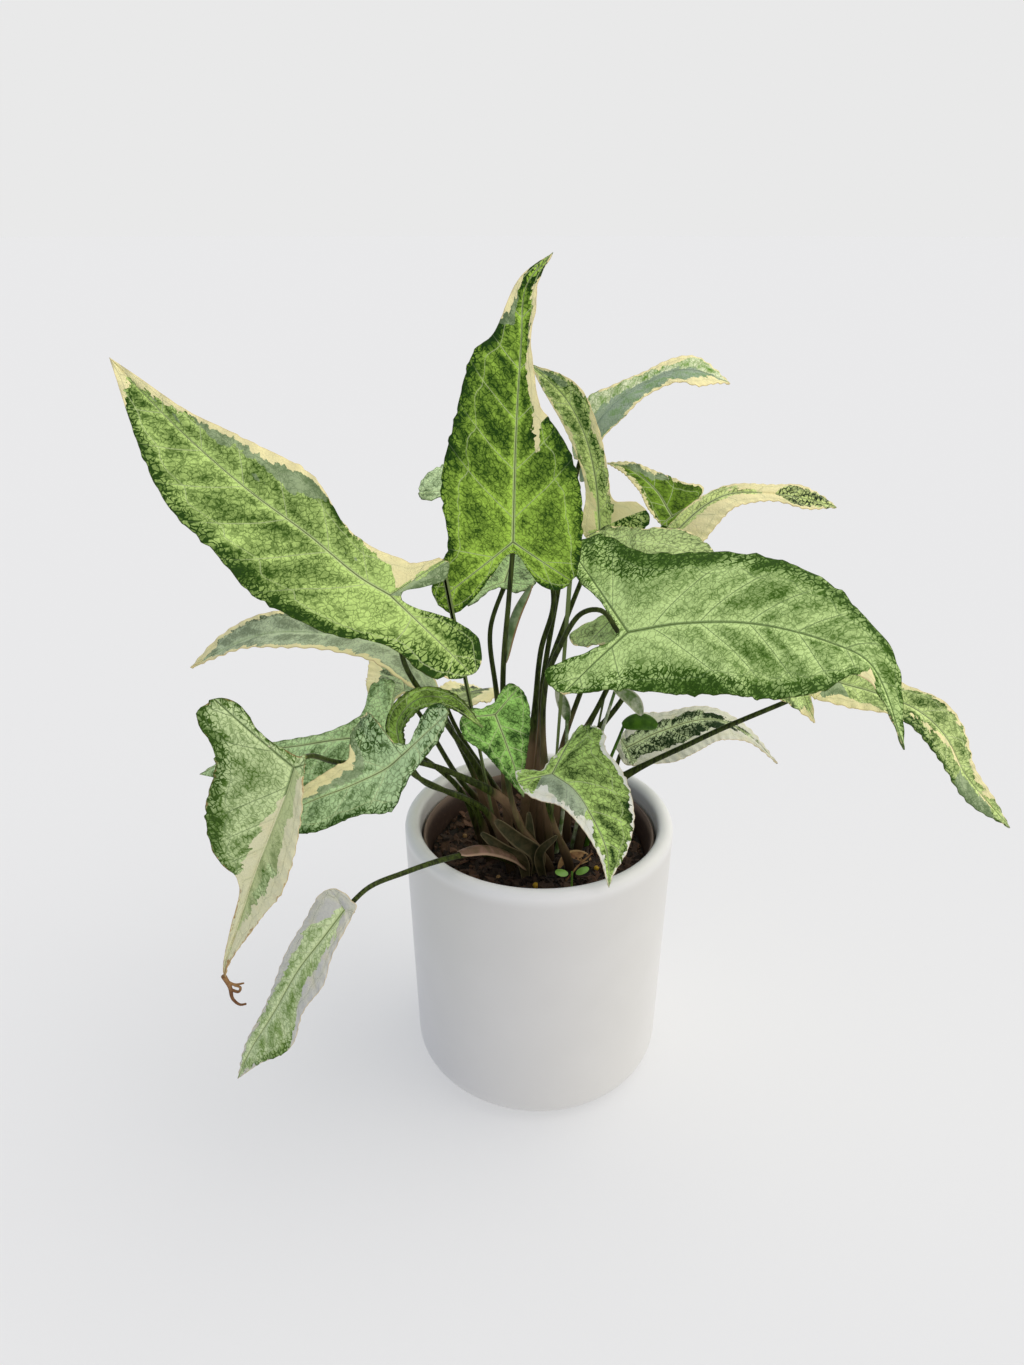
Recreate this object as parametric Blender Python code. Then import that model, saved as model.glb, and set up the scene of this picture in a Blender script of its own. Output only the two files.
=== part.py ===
"""Arrowhead plant in a nursery pot inside a white ceramic cover pot.

Every length in the tables is in millimetres and is turned to metres when a mesh is made.
+Z is up, the viewer stands on the -Y side, and the origin is the middle of the pot's underside.
"""
import math

import bmesh
import bpy
import numpy as np

MM = 0.001
GAP = 0.3

# Cover pot
POT_HEIGHT = 148.0
POT_TOP_RADIUS = 70.0
POT_BASE_RADIUS = 67.3
POT_WALL = 8.0
POT_FLOOR = 7.0
POT_FOOT_ROUND = 14.0
POT_FLOOR_ROUND = 6.0
POT_MOUTH_DEPTH = 40.0
POT_SIDES = 48

# Nursery pot of thin plastic, which stands on the cover pot's floor
LINER_TOP = 139.0
LINER_RIM_RADIUS = 60.6
LINER_TOP_RADIUS = 59.2
LINER_BASE_RADIUS = 47.0
LINER_WALL = 1.2
LINER_RIM_DEPTH = 9.0
LINER_HOLE_RADIUS = 4.0
LINER_HOLE_CIRCLE = 32.0
LINER_HOLES = 6
LINER_SIDES = 40
CUT_PAST = 2.0

# Soil, with a plain hole for each root
SOIL_TOP = 127.0
SOIL_BUMP = 1.0
SOIL_EDGE_DROP = 1.5
SOIL_SIDE_GAP = 0.7
SOIL_RINGS = 7
ROOT_DEPTH = 15.0
ROOT_STRAIGHT = 9.0
HOLE_CLEARANCE = 0.5
HOLE_SIDES = 8

# Petioles: a wide sheath below, a thin stalk above
SHEATH_RADIUS = 2.9
STALK_RADIUS = 1.7
TIP_RADIUS = 1.3
SHEATH_FLATTEN = 0.8
PETIOLE_SIDES = 6
PETIOLE_RING_STEP = 13.0
PETIOLE_RINGS = (7, 13)
SHEATH_END = 0.32
STALK_START = 0.48
UNDERSIDE_RISE = 0.3
JOINT_GAP = 0.4
JOINT_LOW = 0.5

# Blades; a grid is the rows on each side of a lobe's vein, the rows along the midrib, and the columns
BLADE_THICKNESS = 0.8
MIDRIB_THICKNESS = 1.4
SINUS_DEPTH = 5.0
SINUS_HALF_WIDTH = 1.9
RAY_SLANT = 0.55
SWING_FADE = math.radians(50)
CURVE_STEPS = 60
MARGIN_SAMPLES = 400
RIB_SAMPLES = 200
SINUS_FALL = 0.4
RAY_SAG = 0.1
WAVES = 3
USUAL_CURL = (-6, -6)
USUAL_LOBE_DROP = (10, 10)
SECOND_HALF_PHASE = 2.1
LARGE_GRID = (4, 9, 3)
SMALL_GRID = (3, 7, 2)

# Each leaf: rib runs from the joint to the tip, face is where its upper side looks at the joint.
# left and right are the flat outlines of its halves from the sinus to near the tip, as across and
# along the rib; fold and curl are degrees a half lifts at the joint and bends on the way out;
# lobe_drop is degrees a lobe bends down behind the joint, and swing is degrees both turn to the right.
LEAVES = [
    dict(name="tall", root=(-15, -13), via=[(-18, -12, 230), (-15, -16, 273)],
         rib=[(-13, -18, 301), (-12, -14, 345), (-10, -6, 383), (-8, 2, 406), (3, 8, 419)],
         face=(0, -1, 0.1), fold=(8, 8), tip_fold=(12, 15), curl=(-4, -4), wave=1.5, lobe_drop=(-5, -5),
         left=[(9, -15), (19, -28), (27, -33), (36, -23), (29, -2), (32, 25), (26, 54), (20, 79),
               (13, 86), (7, 99)],
         right=[(13, -19), (21, -21), (28, -15), (30, 19), (24, 40), (15, 53), (10, 59), (6, 75), (4, 87),
                (6, 100)]),
    dict(name="left_big", root=(-19, -4), via=[(-28, -12, 175), (-43, -24, 210), (-61, -34, 246)],
         rib=[(-65, -45, 285), (-77, -48, 294), (-97, -50, 313), (-120, -51, 332), (-145, -47, 354),
              (-175, -34, 381)],
         face=(0.1, -0.8, 0.5), fold=(4, 8), tip_fold=(10, 18), wave=1.8, lobe_drop=(5, 0),
         swing=26,
         left=[(5, -13), (9, -30), (18, -44), (32, -43), (32, -24), (21, -6), (29, 18), (34, 48),
               (29, 68), (26, 90),
               (11, 124)],
         right=[(4, -13), (9, -25), (16, -25), (16, 2), (14, 16), (13, 34), (21, 58), (14, 90), (8, 110),
                (3, 135)]),
    dict(name="right_big", root=(6, -13), via=[(2, -16, 227), (9, -22, 253), (18, -30, 272), (27, -38, 276)],
         rib=[(38, -40, 267), (59, -42, 272), (91, -46, 274), (122, -54, 269), (138, -60, 262),
              (154, -72, 228)],
         face=(0, -0.6, 0.8), fold=(5, 5), tip_fold=(8, 8), wave=1.7, lobe_drop=(0, 0),
         left=[(17, -10), (35, -21), (52, -21), (57, -9), (38, 14), (36, 41), (32, 65), (26, 83),
               (15, 99), (9, 117)],
         right=[(6, -17), (13, -38), (23, -34), (28, -8), (34, 19), (36, 58), (27, 87), (9, 104), (3, 123)]),
    dict(name="left_behind", root=(-24, 5), via=[(-31, 4, 160), (-53, 6, 212)],
         rib=[(-63, 10, 231), (-85, 12, 241), (-111, 14, 243), (-142, 18, 240), (-183, 24, 219)],
         face=(0, -0.5, 0.8), fold=(12, 12), tip_fold=(25, 25), wave=2.0,
         left=[(7, -15), (14, -19), (16, 0), (13, 25), (12, 45), (12, 62), (8, 91)],
         right=[(7, -14), (14, -18), (17, 4), (19, 33), (13, 62), (11, 80), (9, 104)]),
    dict(name="left_hanging", root=(-5, -14),
         via=[(-15, -21, 166), (-37, -30, 187), (-60, -40, 201), (-90, -48, 204), (-98, -78, 224)],
         rib=[(-100, -95, 228), (-103, -97, 219), (-111, -98, 200), (-120, -98, 179), (-132, -94, 148),
              (-143, -90, 120), (-145, -88, 109)],
         face=(0.15, -0.9, 0.3), fold=(30, 5), tip_fold=(30, 15), curl=(-6, -8), wave=1.2,
         left=[(3, -7), (6, 4), (11, 20), (15, 51), (10, 74), (4, 101)],
         right=[(16, -10), (28, -19), (37, -19), (43, -10), (32, 3), (28, 32), (18, 51), (6, 61), (3, 92)]),
    dict(name="left_low", root=(-14, -23), via=[(-25, -24, 163), (-46, -40, 186), (-58, -54, 203)],
         rib=[(-61, -60, 215), (-68, -61, 209), (-84, -65, 202), (-106, -70, 194), (-124, -72, 181)],
         face=(0, -0.75, 0.65), fold=(5, 10), tip_fold=(5, 10), wave=1.5, lobe_drop=(0, 0),
         swing=42,
         left=[(5, -16), (8, -23), (13, -26), (18, -23), (15, -13), (9, -2), (12, 7), (18, 15), (14, 28),
               (13, 52)],
         right=[(11, -2), (24, -1), (25, 8), (22, 17), (11, 24), (11, 29), (7, 48)]),
    dict(name="left_low_behind", root=(-29, -4), via=[(-39, -10, 166), (-54, -18, 188)],
         rib=[(-74, -25, 205), (-92, -28, 206), (-114, -30, 203), (-133, -31, 200), (-152, -30, 193),
              (-166, -28, 185)],
         face=(0, -0.7, 0.7), fold=(0, 0), tip_fold=(0, 0), wave=1.8,
         left=[(8, -14), (18, -4), (24, 23), (18, 52), (10, 78)],
         right=[(14, -4), (30, -4), (29, 6), (12, 12), (5, 26), (4, 43), (3, 71)]),
    dict(name="low_left_pale", root=(-4, -24),
         via=[(-13, -31, 140), (-26, -42, 152), (-44, -60, 160), (-60, -78, 165), (-74, -91, 166)],
         rib=[(-83, -100, 161), (-93, -104, 148), (-104, -106, 133), (-117, -106, 109), (-132, -104, 82),
              (-141, -100, 61)],
         face=(-0.2, -0.8, 0.55), fold=(0, 0), tip_fold=(0, 0), wave=1.0, lobe_drop=(0, 0),
         left=[(3, -5), (5, 3), (8, 19), (13, 33), (12, 52), (15, 74), (8, 92)],
         right=[(9, -4), (13, 2), (11, 23), (8, 43), (5, 70), (4, 90)]),
    dict(name="young_arched", root=(-25, -14), via=[(-34, -22, 168), (-56, -34, 187)],
         rib=[(-65, -34, 203), (-66, -35, 219), (-55, -36, 232), (-41, -36, 231), (-26, -38, 218)],
         face=(-0.3, -0.6, 0.5), fold=(30, 30), tip_fold=(30, 30), wave=0.8, lobe_drop=(0, 0),
         left=[(4, -5), (5, 4), (6, 20), (5, 42), (2, 60)],
         right=[(4, -5), (5, 4), (6, 20), (5, 42), (2, 60)]),
    dict(name="small_centre", root=(6, -23), via=[(-10, -29, 162), (-18, -29, 202)],
         rib=[(-21, -30, 221), (-16, -33, 208), (-11, -36, 194), (-7, -38, 181)],
         face=(0.2, -0.8, 0.5), fold=(5, 10), tip_fold=(8, 15), wave=0.8,
         left=[(5, -8), (12, -11), (17, -4), (15, 9), (10, 19), (4, 31)],
         right=[(5, -5), (9, -7), (17, -4), (18, 4), (12, 14), (7, 27), (2, 39)]),
    dict(name="small_front", root=(16, -21), via=[(7, -32, 164), (4, -38, 182)],
         rib=[(6, -45, 198), (16, -52, 194), (24, -58, 184), (31, -64, 170), (33, -66, 150)],
         face=(0, -0.75, 0.65), fold=(5, 10), tip_fold=(8, 10), wave=1.2,
         left=[(15, -4), (28, -4), (30, 8), (24, 11), (23, 19), (18, 35), (10, 46), (3, 56)],
         right=[(5, -11), (9, -15), (15, -3), (11, 11), (7, 28), (5, 41), (2, 56)]),
    dict(name="right_pale", root=(26, 5), via=[(32, 12, 146), (41, 24, 162)],
         rib=[(47, 30, 172), (65, 36, 179), (93, 42, 184), (113, 44, 175), (133, 44, 156)],
         face=(0, -0.6, 0.8), fold=(0, 0), tip_fold=(0, 0), wave=1.0,
         left=[(8, 2), (14, 16), (10, 28), (8, 48), (5, 69)],
         right=[(8, -5), (14, 6), (19, 25), (11, 58), (4, 76)]),
    dict(name="far_right", root=(21, -4), via=[(32, 2, 159), (79, -8, 198), (117, -16, 223)],
         rib=[(136, -20, 236), (157, -26, 232), (173, -32, 227), (186, -35, 216), (198, -38, 197),
              (222, -42, 171)],
         face=(0.2, -0.7, 0.7), fold=(10, 10), tip_fold=(10, 10), wave=1.2,
         left=[(6, -8), (14, 5), (9, 33), (11, 48), (10, 66), (6, 81), (4, 99)],
         right=[(12, -7), (12, 8), (9, 28), (10, 40), (11, 54), (11, 72), (8, 94)]),
    dict(name="behind_tall", root=(1, -4), via=[(3, 4, 224), (11, 14, 248), (21, 30, 270)],
         rib=[(29, 44, 289), (26, 47, 315), (20, 50, 336), (10, 53, 353), (-7, 56, 368)],
         face=(-0.2, -0.9, 0.3), fold=(10, 10), tip_fold=(10, 10), wave=1.0,
         left=[(5, -6), (9, 1), (6, 17), (6, 31), (8, 54), (6, 76)],
         right=[(9, -3), (20, -3), (26, 5), (20, 13), (8, 15), (7, 29), (8, 52), (9, 67), (6, 78)]),
    dict(name="upper_right", root=(-4, 6), via=[(-2, 16, 177), (2, 26, 219), (9, 40, 262), (14, 55, 298)],
         rib=[(20, 62, 325), (28, 66, 340), (39, 72, 350), (54, 80, 357), (67, 86, 361), (80, 92, 360),
              (98, 100, 353)],
         face=(0, -0.6, 0.8), fold=(10, 10), tip_fold=(10, 10), wave=0.8,
         left=[(5, -2), (11, 10), (12, 24), (8, 34), (6, 51), (7, 64), (9, 82), (6, 92)],
         right=[(6, -14), (9, -12), (7, 0), (7, 9), (10, 26), (7, 47), (8, 64), (12, 75)]),
    dict(name="right_middle", root=(15, 5), via=[(17, 15, 171), (33, 25, 205), (57, 37, 260)],
         rib=[(65, 45, 296), (57, 55, 307), (45, 64, 315), (33, 72, 317)],
         face=(0, -0.7, 0.7), fold=(10, 10), tip_fold=(10, 10), wave=0.8,
         left=[(5, -5), (9, 3), (9, 13), (7, 24), (3, 40)],
         right=[(8, -3), (22, 8), (14, 13), (7, 25), (4, 37)]),
    dict(name="right_cream", root=(15, 15), via=[(25, 22, 176), (44, 26, 205), (63, 29, 255)],
         rib=[(67, 33, 293), (77, 36, 302), (89, 40, 308), (102, 43, 309), (128, 49, 305), (149, 54, 299)],
         face=(0, -0.6, 0.8), fold=(10, 10), tip_fold=(10, 10), wave=0.8,
         left=[(4, -7), (5, 4), (5, 14), (5, 29), (5, 46), (7, 71), (5, 82)],
         right=[(8, -4), (15, -2), (14, 9), (8, 35), (5, 54), (7, 71)]),
    dict(name="right_shaded", root=(11, -4), via=[(9, -4, 176), (20, -3, 221), (30, -5, 248)],
         rib=[(40, -8, 268), (68, -12, 272), (96, -16, 259), (118, -22, 237), (129, -26, 217)],
         face=(0.1, -0.55, 0.8), fold=(5, 5), tip_fold=(20, 20), wave=2.0,
         left=[(11, -11), (30, -18), (52, -13), (43, 10), (40, 24), (26, 38), (15, 60), (9, 85)],
         right=[(6, -14), (13, -27), (19, -25), (22, -8), (32, 20), (34, 45), (26, 75), (13, 100)]),
    dict(name="centre_back", root=(-14, 6), via=[(-22, 8, 213), (-25, 10, 248)],
         rib=[(-18, 14, 271), (-15, 34, 276), (-11, 62, 278), (-6, 96, 275)],
         face=(0, -0.3, 0.9), fold=(10, 10), tip_fold=(10, 10), wave=1.5,
         left=[(5, -8), (13, -23), (18, -14), (19, 10), (15, 40), (7, 65)],
         right=[(5, -8), (13, -6), (19, 12), (18, 40), (9, 65)]),
    dict(name="back_tall", root=(-9, -4), via=[(-3, 5, 200), (0, 14, 235), (6, 18, 262), (-6, 26, 296)],
         rib=[(-36, 36, 312), (-30, 54, 317), (-21, 84, 323), (-11, 118, 326)],
         face=(-0.1, -0.4, 0.9), fold=(8, 8), tip_fold=(10, 10), wave=1.5,
         left=[(6, -8), (17, -17), (25, -4), (22, 12), (20, 38), (11, 66)],
         right=[(8, -15), (20, -16), (28, -6), (27, 20), (19, 50), (9, 72)]),
    dict(name="back_left", root=(-20, 15), via=[(-42, 8, 164), (-60, 20, 190)],
         rib=[(-72, 32, 204), (-77, 56, 204), (-84, 86, 203), (-93, 118, 197)],
         face=(-0.1, -0.2, 1), fold=(10, 10), tip_fold=(25, 25), wave=1.5,
         left=[(7, -12), (14, -19), (19, -5), (20, 12), (17, 36), (8, 66)],
         right=[(5, -10), (9, -13), (12, -3), (13, 12), (12, 36), (6, 66)]),
    dict(name="back_pale", root=(-10, 16), via=[(-24, 24, 150), (-45, 31, 182)],
         rib=[(-51, 40, 195), (-44, 64, 187), (-37, 92, 176), (-32, 122, 160)],
         face=(0, -0.2, 1), fold=(8, 8), tip_fold=(25, 25), wave=1.5,
         left=[(5, -10), (9, -13), (12, -3), (14, 12), (13, 36), (6, 68)],
         right=[(7, -12), (15, -20), (20, -5), (21, 14), (18, 38), (8, 68)]),
]
LARGE_LEAVES = {"tall", "left_big", "right_big", "left_hanging", "left_low", "left_behind", "far_right",
                "right_shaded", "low_left_pale", "behind_tall", "upper_right", "left_low_behind"}

# Seedling that came up by itself in the soil
SEEDLING_ROOT = (17.0, -34.5)
SEEDLING_HEIGHT = 10.5
SEEDLING_STEM_RADIUS = 0.6
SEEDLING_LEAF_RADIUS = 4.2
SEEDLING_LEAF_WIDTH = 0.85
SEEDLING_LEAF_REACH = 1.05
SEEDLING_LEAF_BELOW_TOP = 1.2
SEEDLING_LEAF_SKEW = 0.3
SEEDLING_LEAF_THICKNESS = 0.7
SEEDLING_LEAF_TILT = math.radians(16)
SEEDLING_SIDES = 12


def clear_scene():
    for thing in list(bpy.data.objects):
        bpy.data.objects.remove(thing, do_unlink=True)


def make_material(name, colour, roughness, metallic=0.0):
    material = bpy.data.materials.new(name)
    material.use_nodes = True
    shader = material.node_tree.nodes["Principled BSDF"]
    shader.inputs["Base Color"].default_value = (*colour, 1.0)
    shader.inputs["Roughness"].default_value = roughness
    shader.inputs["Metallic"].default_value = metallic
    return material


def add_object(name, points, faces, material):
    """A mesh object from points in millimetres."""
    mesh = bpy.data.meshes.new(name)
    mesh.from_pydata((np.asarray(points, float) * MM).tolist(), [], [list(map(int, face)) for face in faces])
    mesh.materials.append(material)
    mesh.shade_smooth()
    mesh.set_sharp_from_angle(angle=math.radians(40))
    thing = bpy.data.objects.new(name, mesh)
    bpy.context.scene.collection.objects.link(thing)
    return thing


def unit(vectors):
    vectors = np.asarray(vectors, float)
    return vectors / np.linalg.norm(vectors, axis=-1, keepdims=True)


def smooth_curve(points, count):
    """Catmull-Rom curve through the points, sampled evenly along its length; returns samples and length."""
    points = np.asarray(points, float)
    ends = np.concatenate([[2 * points[0] - points[1]], points, [2 * points[-1] - points[-2]]])
    steps = np.linalg.norm(np.diff(ends, axis=0), axis=1) ** 0.5
    knots = np.concatenate([[0.0], np.cumsum(steps)])
    t = np.linspace(knots[1], knots[-2], CURVE_STEPS * (len(points) - 1) + 1)
    i = np.clip(np.searchsorted(knots, t, side="right") - 1, 1, len(points) - 1)

    def blend(a, b, ta, tb):
        return ((tb - t) / (tb - ta))[:, None] * a + ((t - ta) / (tb - ta))[:, None] * b

    t0, t1, t2, t3 = knots[i - 1], knots[i], knots[i + 1], knots[i + 2]
    a1 = blend(ends[i - 1], ends[i], t0, t1)
    a2 = blend(ends[i], ends[i + 1], t1, t2)
    a3 = blend(ends[i + 1], ends[i + 2], t2, t3)
    dense = blend(blend(a1, a2, t0, t2), blend(a2, a3, t1, t3), t1, t2)
    along = np.concatenate([[0.0], np.cumsum(np.linalg.norm(np.diff(dense, axis=0), axis=1))])
    wanted = np.linspace(0.0, along[-1], count)
    samples = [np.interp(wanted, along, dense[:, k]) for k in range(dense.shape[1])]
    return np.stack(samples, -1), along[-1]


def carried_frame(points, normal):
    """Directions along a curve, with a normal carried from point to point without turning round it."""
    along = unit(np.gradient(points, axis=0))
    normals = np.zeros_like(along)
    for i, direction in enumerate(along):
        normal = unit(normal - direction * np.dot(normal, direction))
        normals[i] = normal
    return along, normals


def turned_solid(name, profile, sides, material):
    """A closed ring profile, as radius and height, turned about Z; radius 0 points become one pole."""
    bm = bmesh.new()
    corners = [bm.verts.new((radius * MM, 0.0, height * MM)) for radius, height in profile]
    edges = [bm.edges.new((a, b)) for a, b in zip(corners, corners[1:])]
    if profile[0][0] > 0.0:
        edges.append(bm.edges.new((corners[-1], corners[0])))
    bmesh.ops.spin(bm, geom=corners + edges, cent=(0, 0, 0), axis=(0, 0, 1), angle=math.tau, steps=sides,
                   use_merge=True, use_duplicate=False)
    bmesh.ops.remove_doubles(bm, verts=bm.verts, dist=1e-6)
    bmesh.ops.recalc_face_normals(bm, faces=bm.faces)
    mesh = bpy.data.meshes.new(name)
    bm.to_mesh(mesh)
    bm.free()
    mesh.materials.append(material)
    mesh.shade_smooth()
    mesh.set_sharp_from_angle(angle=math.radians(35))
    thing = bpy.data.objects.new(name, mesh)
    bpy.context.scene.collection.objects.link(thing)
    return thing


def arc(centre, radius, start, end, count):
    """Points on a round corner of a profile, from one angle in degrees to another."""
    angles = np.radians(np.linspace(start, end, count))
    return [(centre[0] + radius * math.cos(a), centre[1] + radius * math.sin(a)) for a in angles]


def make_cover_pot(material):
    lip = POT_WALL / 2
    inner_top = POT_TOP_RADIUS - POT_WALL
    inner_base = POT_BASE_RADIUS - POT_WALL
    foot = (POT_BASE_RADIUS - POT_FOOT_ROUND, POT_FOOT_ROUND)
    floor = (inner_base - POT_FLOOR_ROUND, POT_FLOOR + POT_FLOOR_ROUND)
    profile = [(0.0, 0.0)]
    profile += arc(foot, POT_FOOT_ROUND, -90, 0, 6)
    profile += arc((POT_TOP_RADIUS - lip, POT_HEIGHT - lip), lip, 0, 180, 7)
    profile += [(inner_top, POT_HEIGHT - POT_MOUTH_DEPTH)]
    profile += arc(floor, POT_FLOOR_ROUND, 0, -90, 4)
    profile += [(0.0, POT_FLOOR)]
    return turned_solid("cover_pot", profile, POT_SIDES, material)


def liner_radius(height):
    """Outer radius of the nursery pot at a height."""
    base = POT_FLOOR + GAP
    return LINER_BASE_RADIUS + (LINER_TOP_RADIUS - LINER_BASE_RADIUS) * (height - base) / (LINER_TOP - base)


def make_nursery_pot(material):
    base = POT_FLOOR + GAP
    collar = LINER_TOP - LINER_RIM_DEPTH
    profile = [
        (0.0, base),
        (LINER_BASE_RADIUS, base),
        (liner_radius(collar), collar),
        (LINER_RIM_RADIUS, collar),
        (LINER_RIM_RADIUS, LINER_TOP),
        (LINER_RIM_RADIUS - LINER_WALL, LINER_TOP),
        (liner_radius(collar) - LINER_WALL, collar),
        (LINER_BASE_RADIUS - LINER_WALL, base + LINER_WALL),
        (0.0, base + LINER_WALL),
    ]
    pot = turned_solid("nursery_pot", profile, LINER_SIDES, material)
    holes = []
    for k in range(LINER_HOLES):
        angle = math.tau * (k + 0.5) / LINER_HOLES
        centre = (LINER_HOLE_CIRCLE * math.cos(angle), LINER_HOLE_CIRCLE * math.sin(angle))
        holes.append((centre, LINER_HOLE_RADIUS, base - CUT_PAST, base + LINER_WALL + CUT_PAST))
    cut_round_holes(pot, "drain_cutter", holes, material)
    return pot


def cut_round_holes(thing, name, holes, material):
    """Cuts upright round holes, each given as centre, radius, bottom and top."""
    points = []
    faces = []
    for centre, radius, bottom, top in holes:
        start = len(points)
        angles = math.tau * np.arange(HOLE_SIDES) / HOLE_SIDES
        circle = [(centre[0] + radius * math.cos(a), centre[1] + radius * math.sin(a)) for a in angles]
        for height in (bottom, top):
            points += [(x, y, height) for x, y in circle]
        faces.append([start + k for k in reversed(range(HOLE_SIDES))])
        faces.append([start + HOLE_SIDES + k for k in range(HOLE_SIDES)])
        for k in range(HOLE_SIDES):
            n = (k + 1) % HOLE_SIDES
            faces.append([start + k, start + n, start + HOLE_SIDES + n, start + HOLE_SIDES + k])
    cutter = add_object(name, points, faces, material)
    cutter.hide_render = True
    cutter.display_type = "WIRE"
    cut = thing.modifiers.new("holes", "BOOLEAN")
    cut.operation = "DIFFERENCE"
    cut.object = cutter


def soil_height(x, y):
    """Bumpy top of the soil, a sum of a few ripples, a little lower towards the pot's wall."""
    ripple = np.sin(0.21 * x + 0.4) * np.cos(0.17 * y - 0.9) + 0.6 * np.sin(0.43 * x - 0.31 * y + 1.1)
    slope = SOIL_EDGE_DROP * (np.hypot(x, y) / LINER_TOP_RADIUS) ** 2
    return SOIL_TOP + SOIL_BUMP * ripple - slope


def make_soil(material, roots):
    base = POT_FLOOR + GAP + LINER_WALL + GAP
    sides = LINER_SIDES
    angles = math.tau * np.arange(sides) / sides
    top_radius = liner_radius(SOIL_TOP - SOIL_BUMP - SOIL_EDGE_DROP) - LINER_WALL - SOIL_SIDE_GAP
    points = [(0.0, 0.0, float(soil_height(0.0, 0.0)))]
    for ring in range(1, SOIL_RINGS + 1):
        radius = top_radius * ring / SOIL_RINGS
        for a in angles:
            x = radius * math.cos(a)
            y = radius * math.sin(a)
            points.append((x, y, float(soil_height(x, y))))
    bottom_radius = liner_radius(base) - LINER_WALL - SOIL_SIDE_GAP
    points += [(bottom_radius * math.cos(a), bottom_radius * math.sin(a), base) for a in angles]
    faces = [[0, 1 + k, 1 + (k + 1) % sides] for k in range(sides)]
    for ring in range(SOIL_RINGS):
        for k in range(sides):
            n = (k + 1) % sides
            inner = 1 + ring * sides
            outer = inner + sides
            faces.append([inner + k, outer + k, inner + n])
            faces.append([inner + n, outer + k, outer + n])
    last = 1 + SOIL_RINGS * sides
    faces.append([last + k for k in reversed(range(sides))])
    soil = add_object("soil", points, faces, material)
    bottom = SOIL_TOP - ROOT_DEPTH - GAP
    holes = [(root, radius + HOLE_CLEARANCE, bottom, SOIL_TOP + ROOT_STRAIGHT) for root, radius in roots]
    cut_round_holes(soil, "root_cutter", holes, material)
    return soil


def blade_outline(leaf, side, length):
    """Flat outline of one half: the sinus, the half's own points, then the tip."""
    own = leaf["left"] if side == 0 else leaf["right"]
    start = [(0.0, -SINUS_DEPTH), (SINUS_HALF_WIDTH, -SINUS_DEPTH - SINUS_FALL)]
    return np.array(start + list(own) + [(0.0, length)], float)


def blade_half(leaf, side, length, grid):
    """Flat grid of one half, each row from a vein to the margin.

    The first rows leave both sides of the lobe's own vein, which is straight from the joint to the
    middle of the lobe's margin, and the others leave the midrib at even steps.
    """
    rungs, rows, columns = grid
    margin, _ = smooth_curve(blade_outline(leaf, side, length), MARGIN_SAMPLES)
    index = np.arange(MARGIN_SAMPLES)
    reach = margin[:, 1] - RAY_SLANT * margin[:, 0]
    turn = int(np.nonzero(reach <= 0.0)[0][-1])
    corner = int(np.nonzero(margin[:, 0] >= SINUS_HALF_WIDTH)[0][0])
    tip = (corner + turn) // 2
    climb = np.linspace(0.0, 1.0, rungs + 1)
    feet = length * np.linspace(0.0, 1.0, rows + 1)[1:]
    beyond = np.maximum.accumulate(reach[turn:]) + 1e-6 * index[:MARGIN_SAMPLES - turn]
    inner = corner + (tip - corner) * climb
    outer = (turn + (tip - turn) * climb)[-2::-1]
    past_lobe = turn + np.interp(feet, beyond, index[:MARGIN_SAMPLES - turn])
    picked = np.concatenate([[0], inner, outer, past_lobe])
    edge = np.stack([np.interp(picked, index, margin[:, k]) for k in (0, 1)], -1)
    edge[-1] = (0.0, length)
    vein = climb[:, None] * margin[tip]
    midrib = np.stack([np.zeros_like(feet), feet], -1)
    start = np.concatenate([vein[:1], vein, vein[-2::-1], midrib])
    middle = (start + edge) / 2
    middle[-rows:, 1] -= RAY_SAG * edge[-rows:, 0] * np.clip(6 * feet / length, 0.0, 1.0)
    r = np.linspace(0.0, 1.0, columns + 1)[None, :, None]
    return start[:, None] * (1 - r) ** 2 + 2 * middle[:, None] * r * (1 - r) + edge[:, None] * r ** 2


def blade_point(leaf, side, flat, rib, length, width, lobe):
    """Place of flat points in space: carried along the rib, folded at it, curled and waved outwards."""
    bearing = np.arctan2(flat[..., 0], -flat[..., 1])
    swing = math.radians(leaf.get("swing", 0)) * np.clip((math.pi / 2 - bearing) / SWING_FADE, 0.0, 1.0)
    bearing = bearing + swing * (-1 if side == 0 else 1)
    x = np.hypot(flat[..., 0], flat[..., 1]) * np.sin(bearing)
    y = -np.hypot(flat[..., 0], flat[..., 1]) * np.cos(bearing)
    at = np.clip(y, 0.0, length)
    stations = np.linspace(0.0, length, len(rib[0]))

    def along_rib(values):
        return np.stack([np.interp(at, stations, values[:, k]) for k in range(3)], -1)

    place = along_rib(rib[0])
    forward = unit(along_rib(rib[1]))
    up = unit(along_rib(rib[2]))
    across = np.cross(forward, up)
    behind = np.clip(-y, 0.0, None)
    droop = np.radians(leaf.get("lobe_drop", USUAL_LOBE_DROP)[side]) * behind / lobe
    place = place - forward * (behind * np.sinc(droop / math.pi))[..., None]
    place = place - up * (behind * np.sin(droop / 2) * np.sinc(droop / math.tau))[..., None]
    lobe_up = up * np.cos(droop)[..., None] - forward * np.sin(droop)[..., None]
    fold = np.radians(leaf["fold"][side] + (leaf["tip_fold"][side] - leaf["fold"][side]) * at / length)
    bend = math.radians(leaf.get("curl", USUAL_CURL)[side]) / (0.2 * length)
    angle = fold + bend * x / 2
    arch = np.sinc(bend * x / math.tau)
    sideways = x * np.cos(angle) * arch * (-1 if side == 0 else 1)
    phase = math.tau * WAVES * y / length + SECOND_HALF_PHASE * side
    wave = leaf["wave"] * np.sin(phase) * (x / width) ** 2
    lift = x * np.sin(angle) * arch + wave
    return place + across * sideways[..., None] + lobe_up * lift[..., None]


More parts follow.
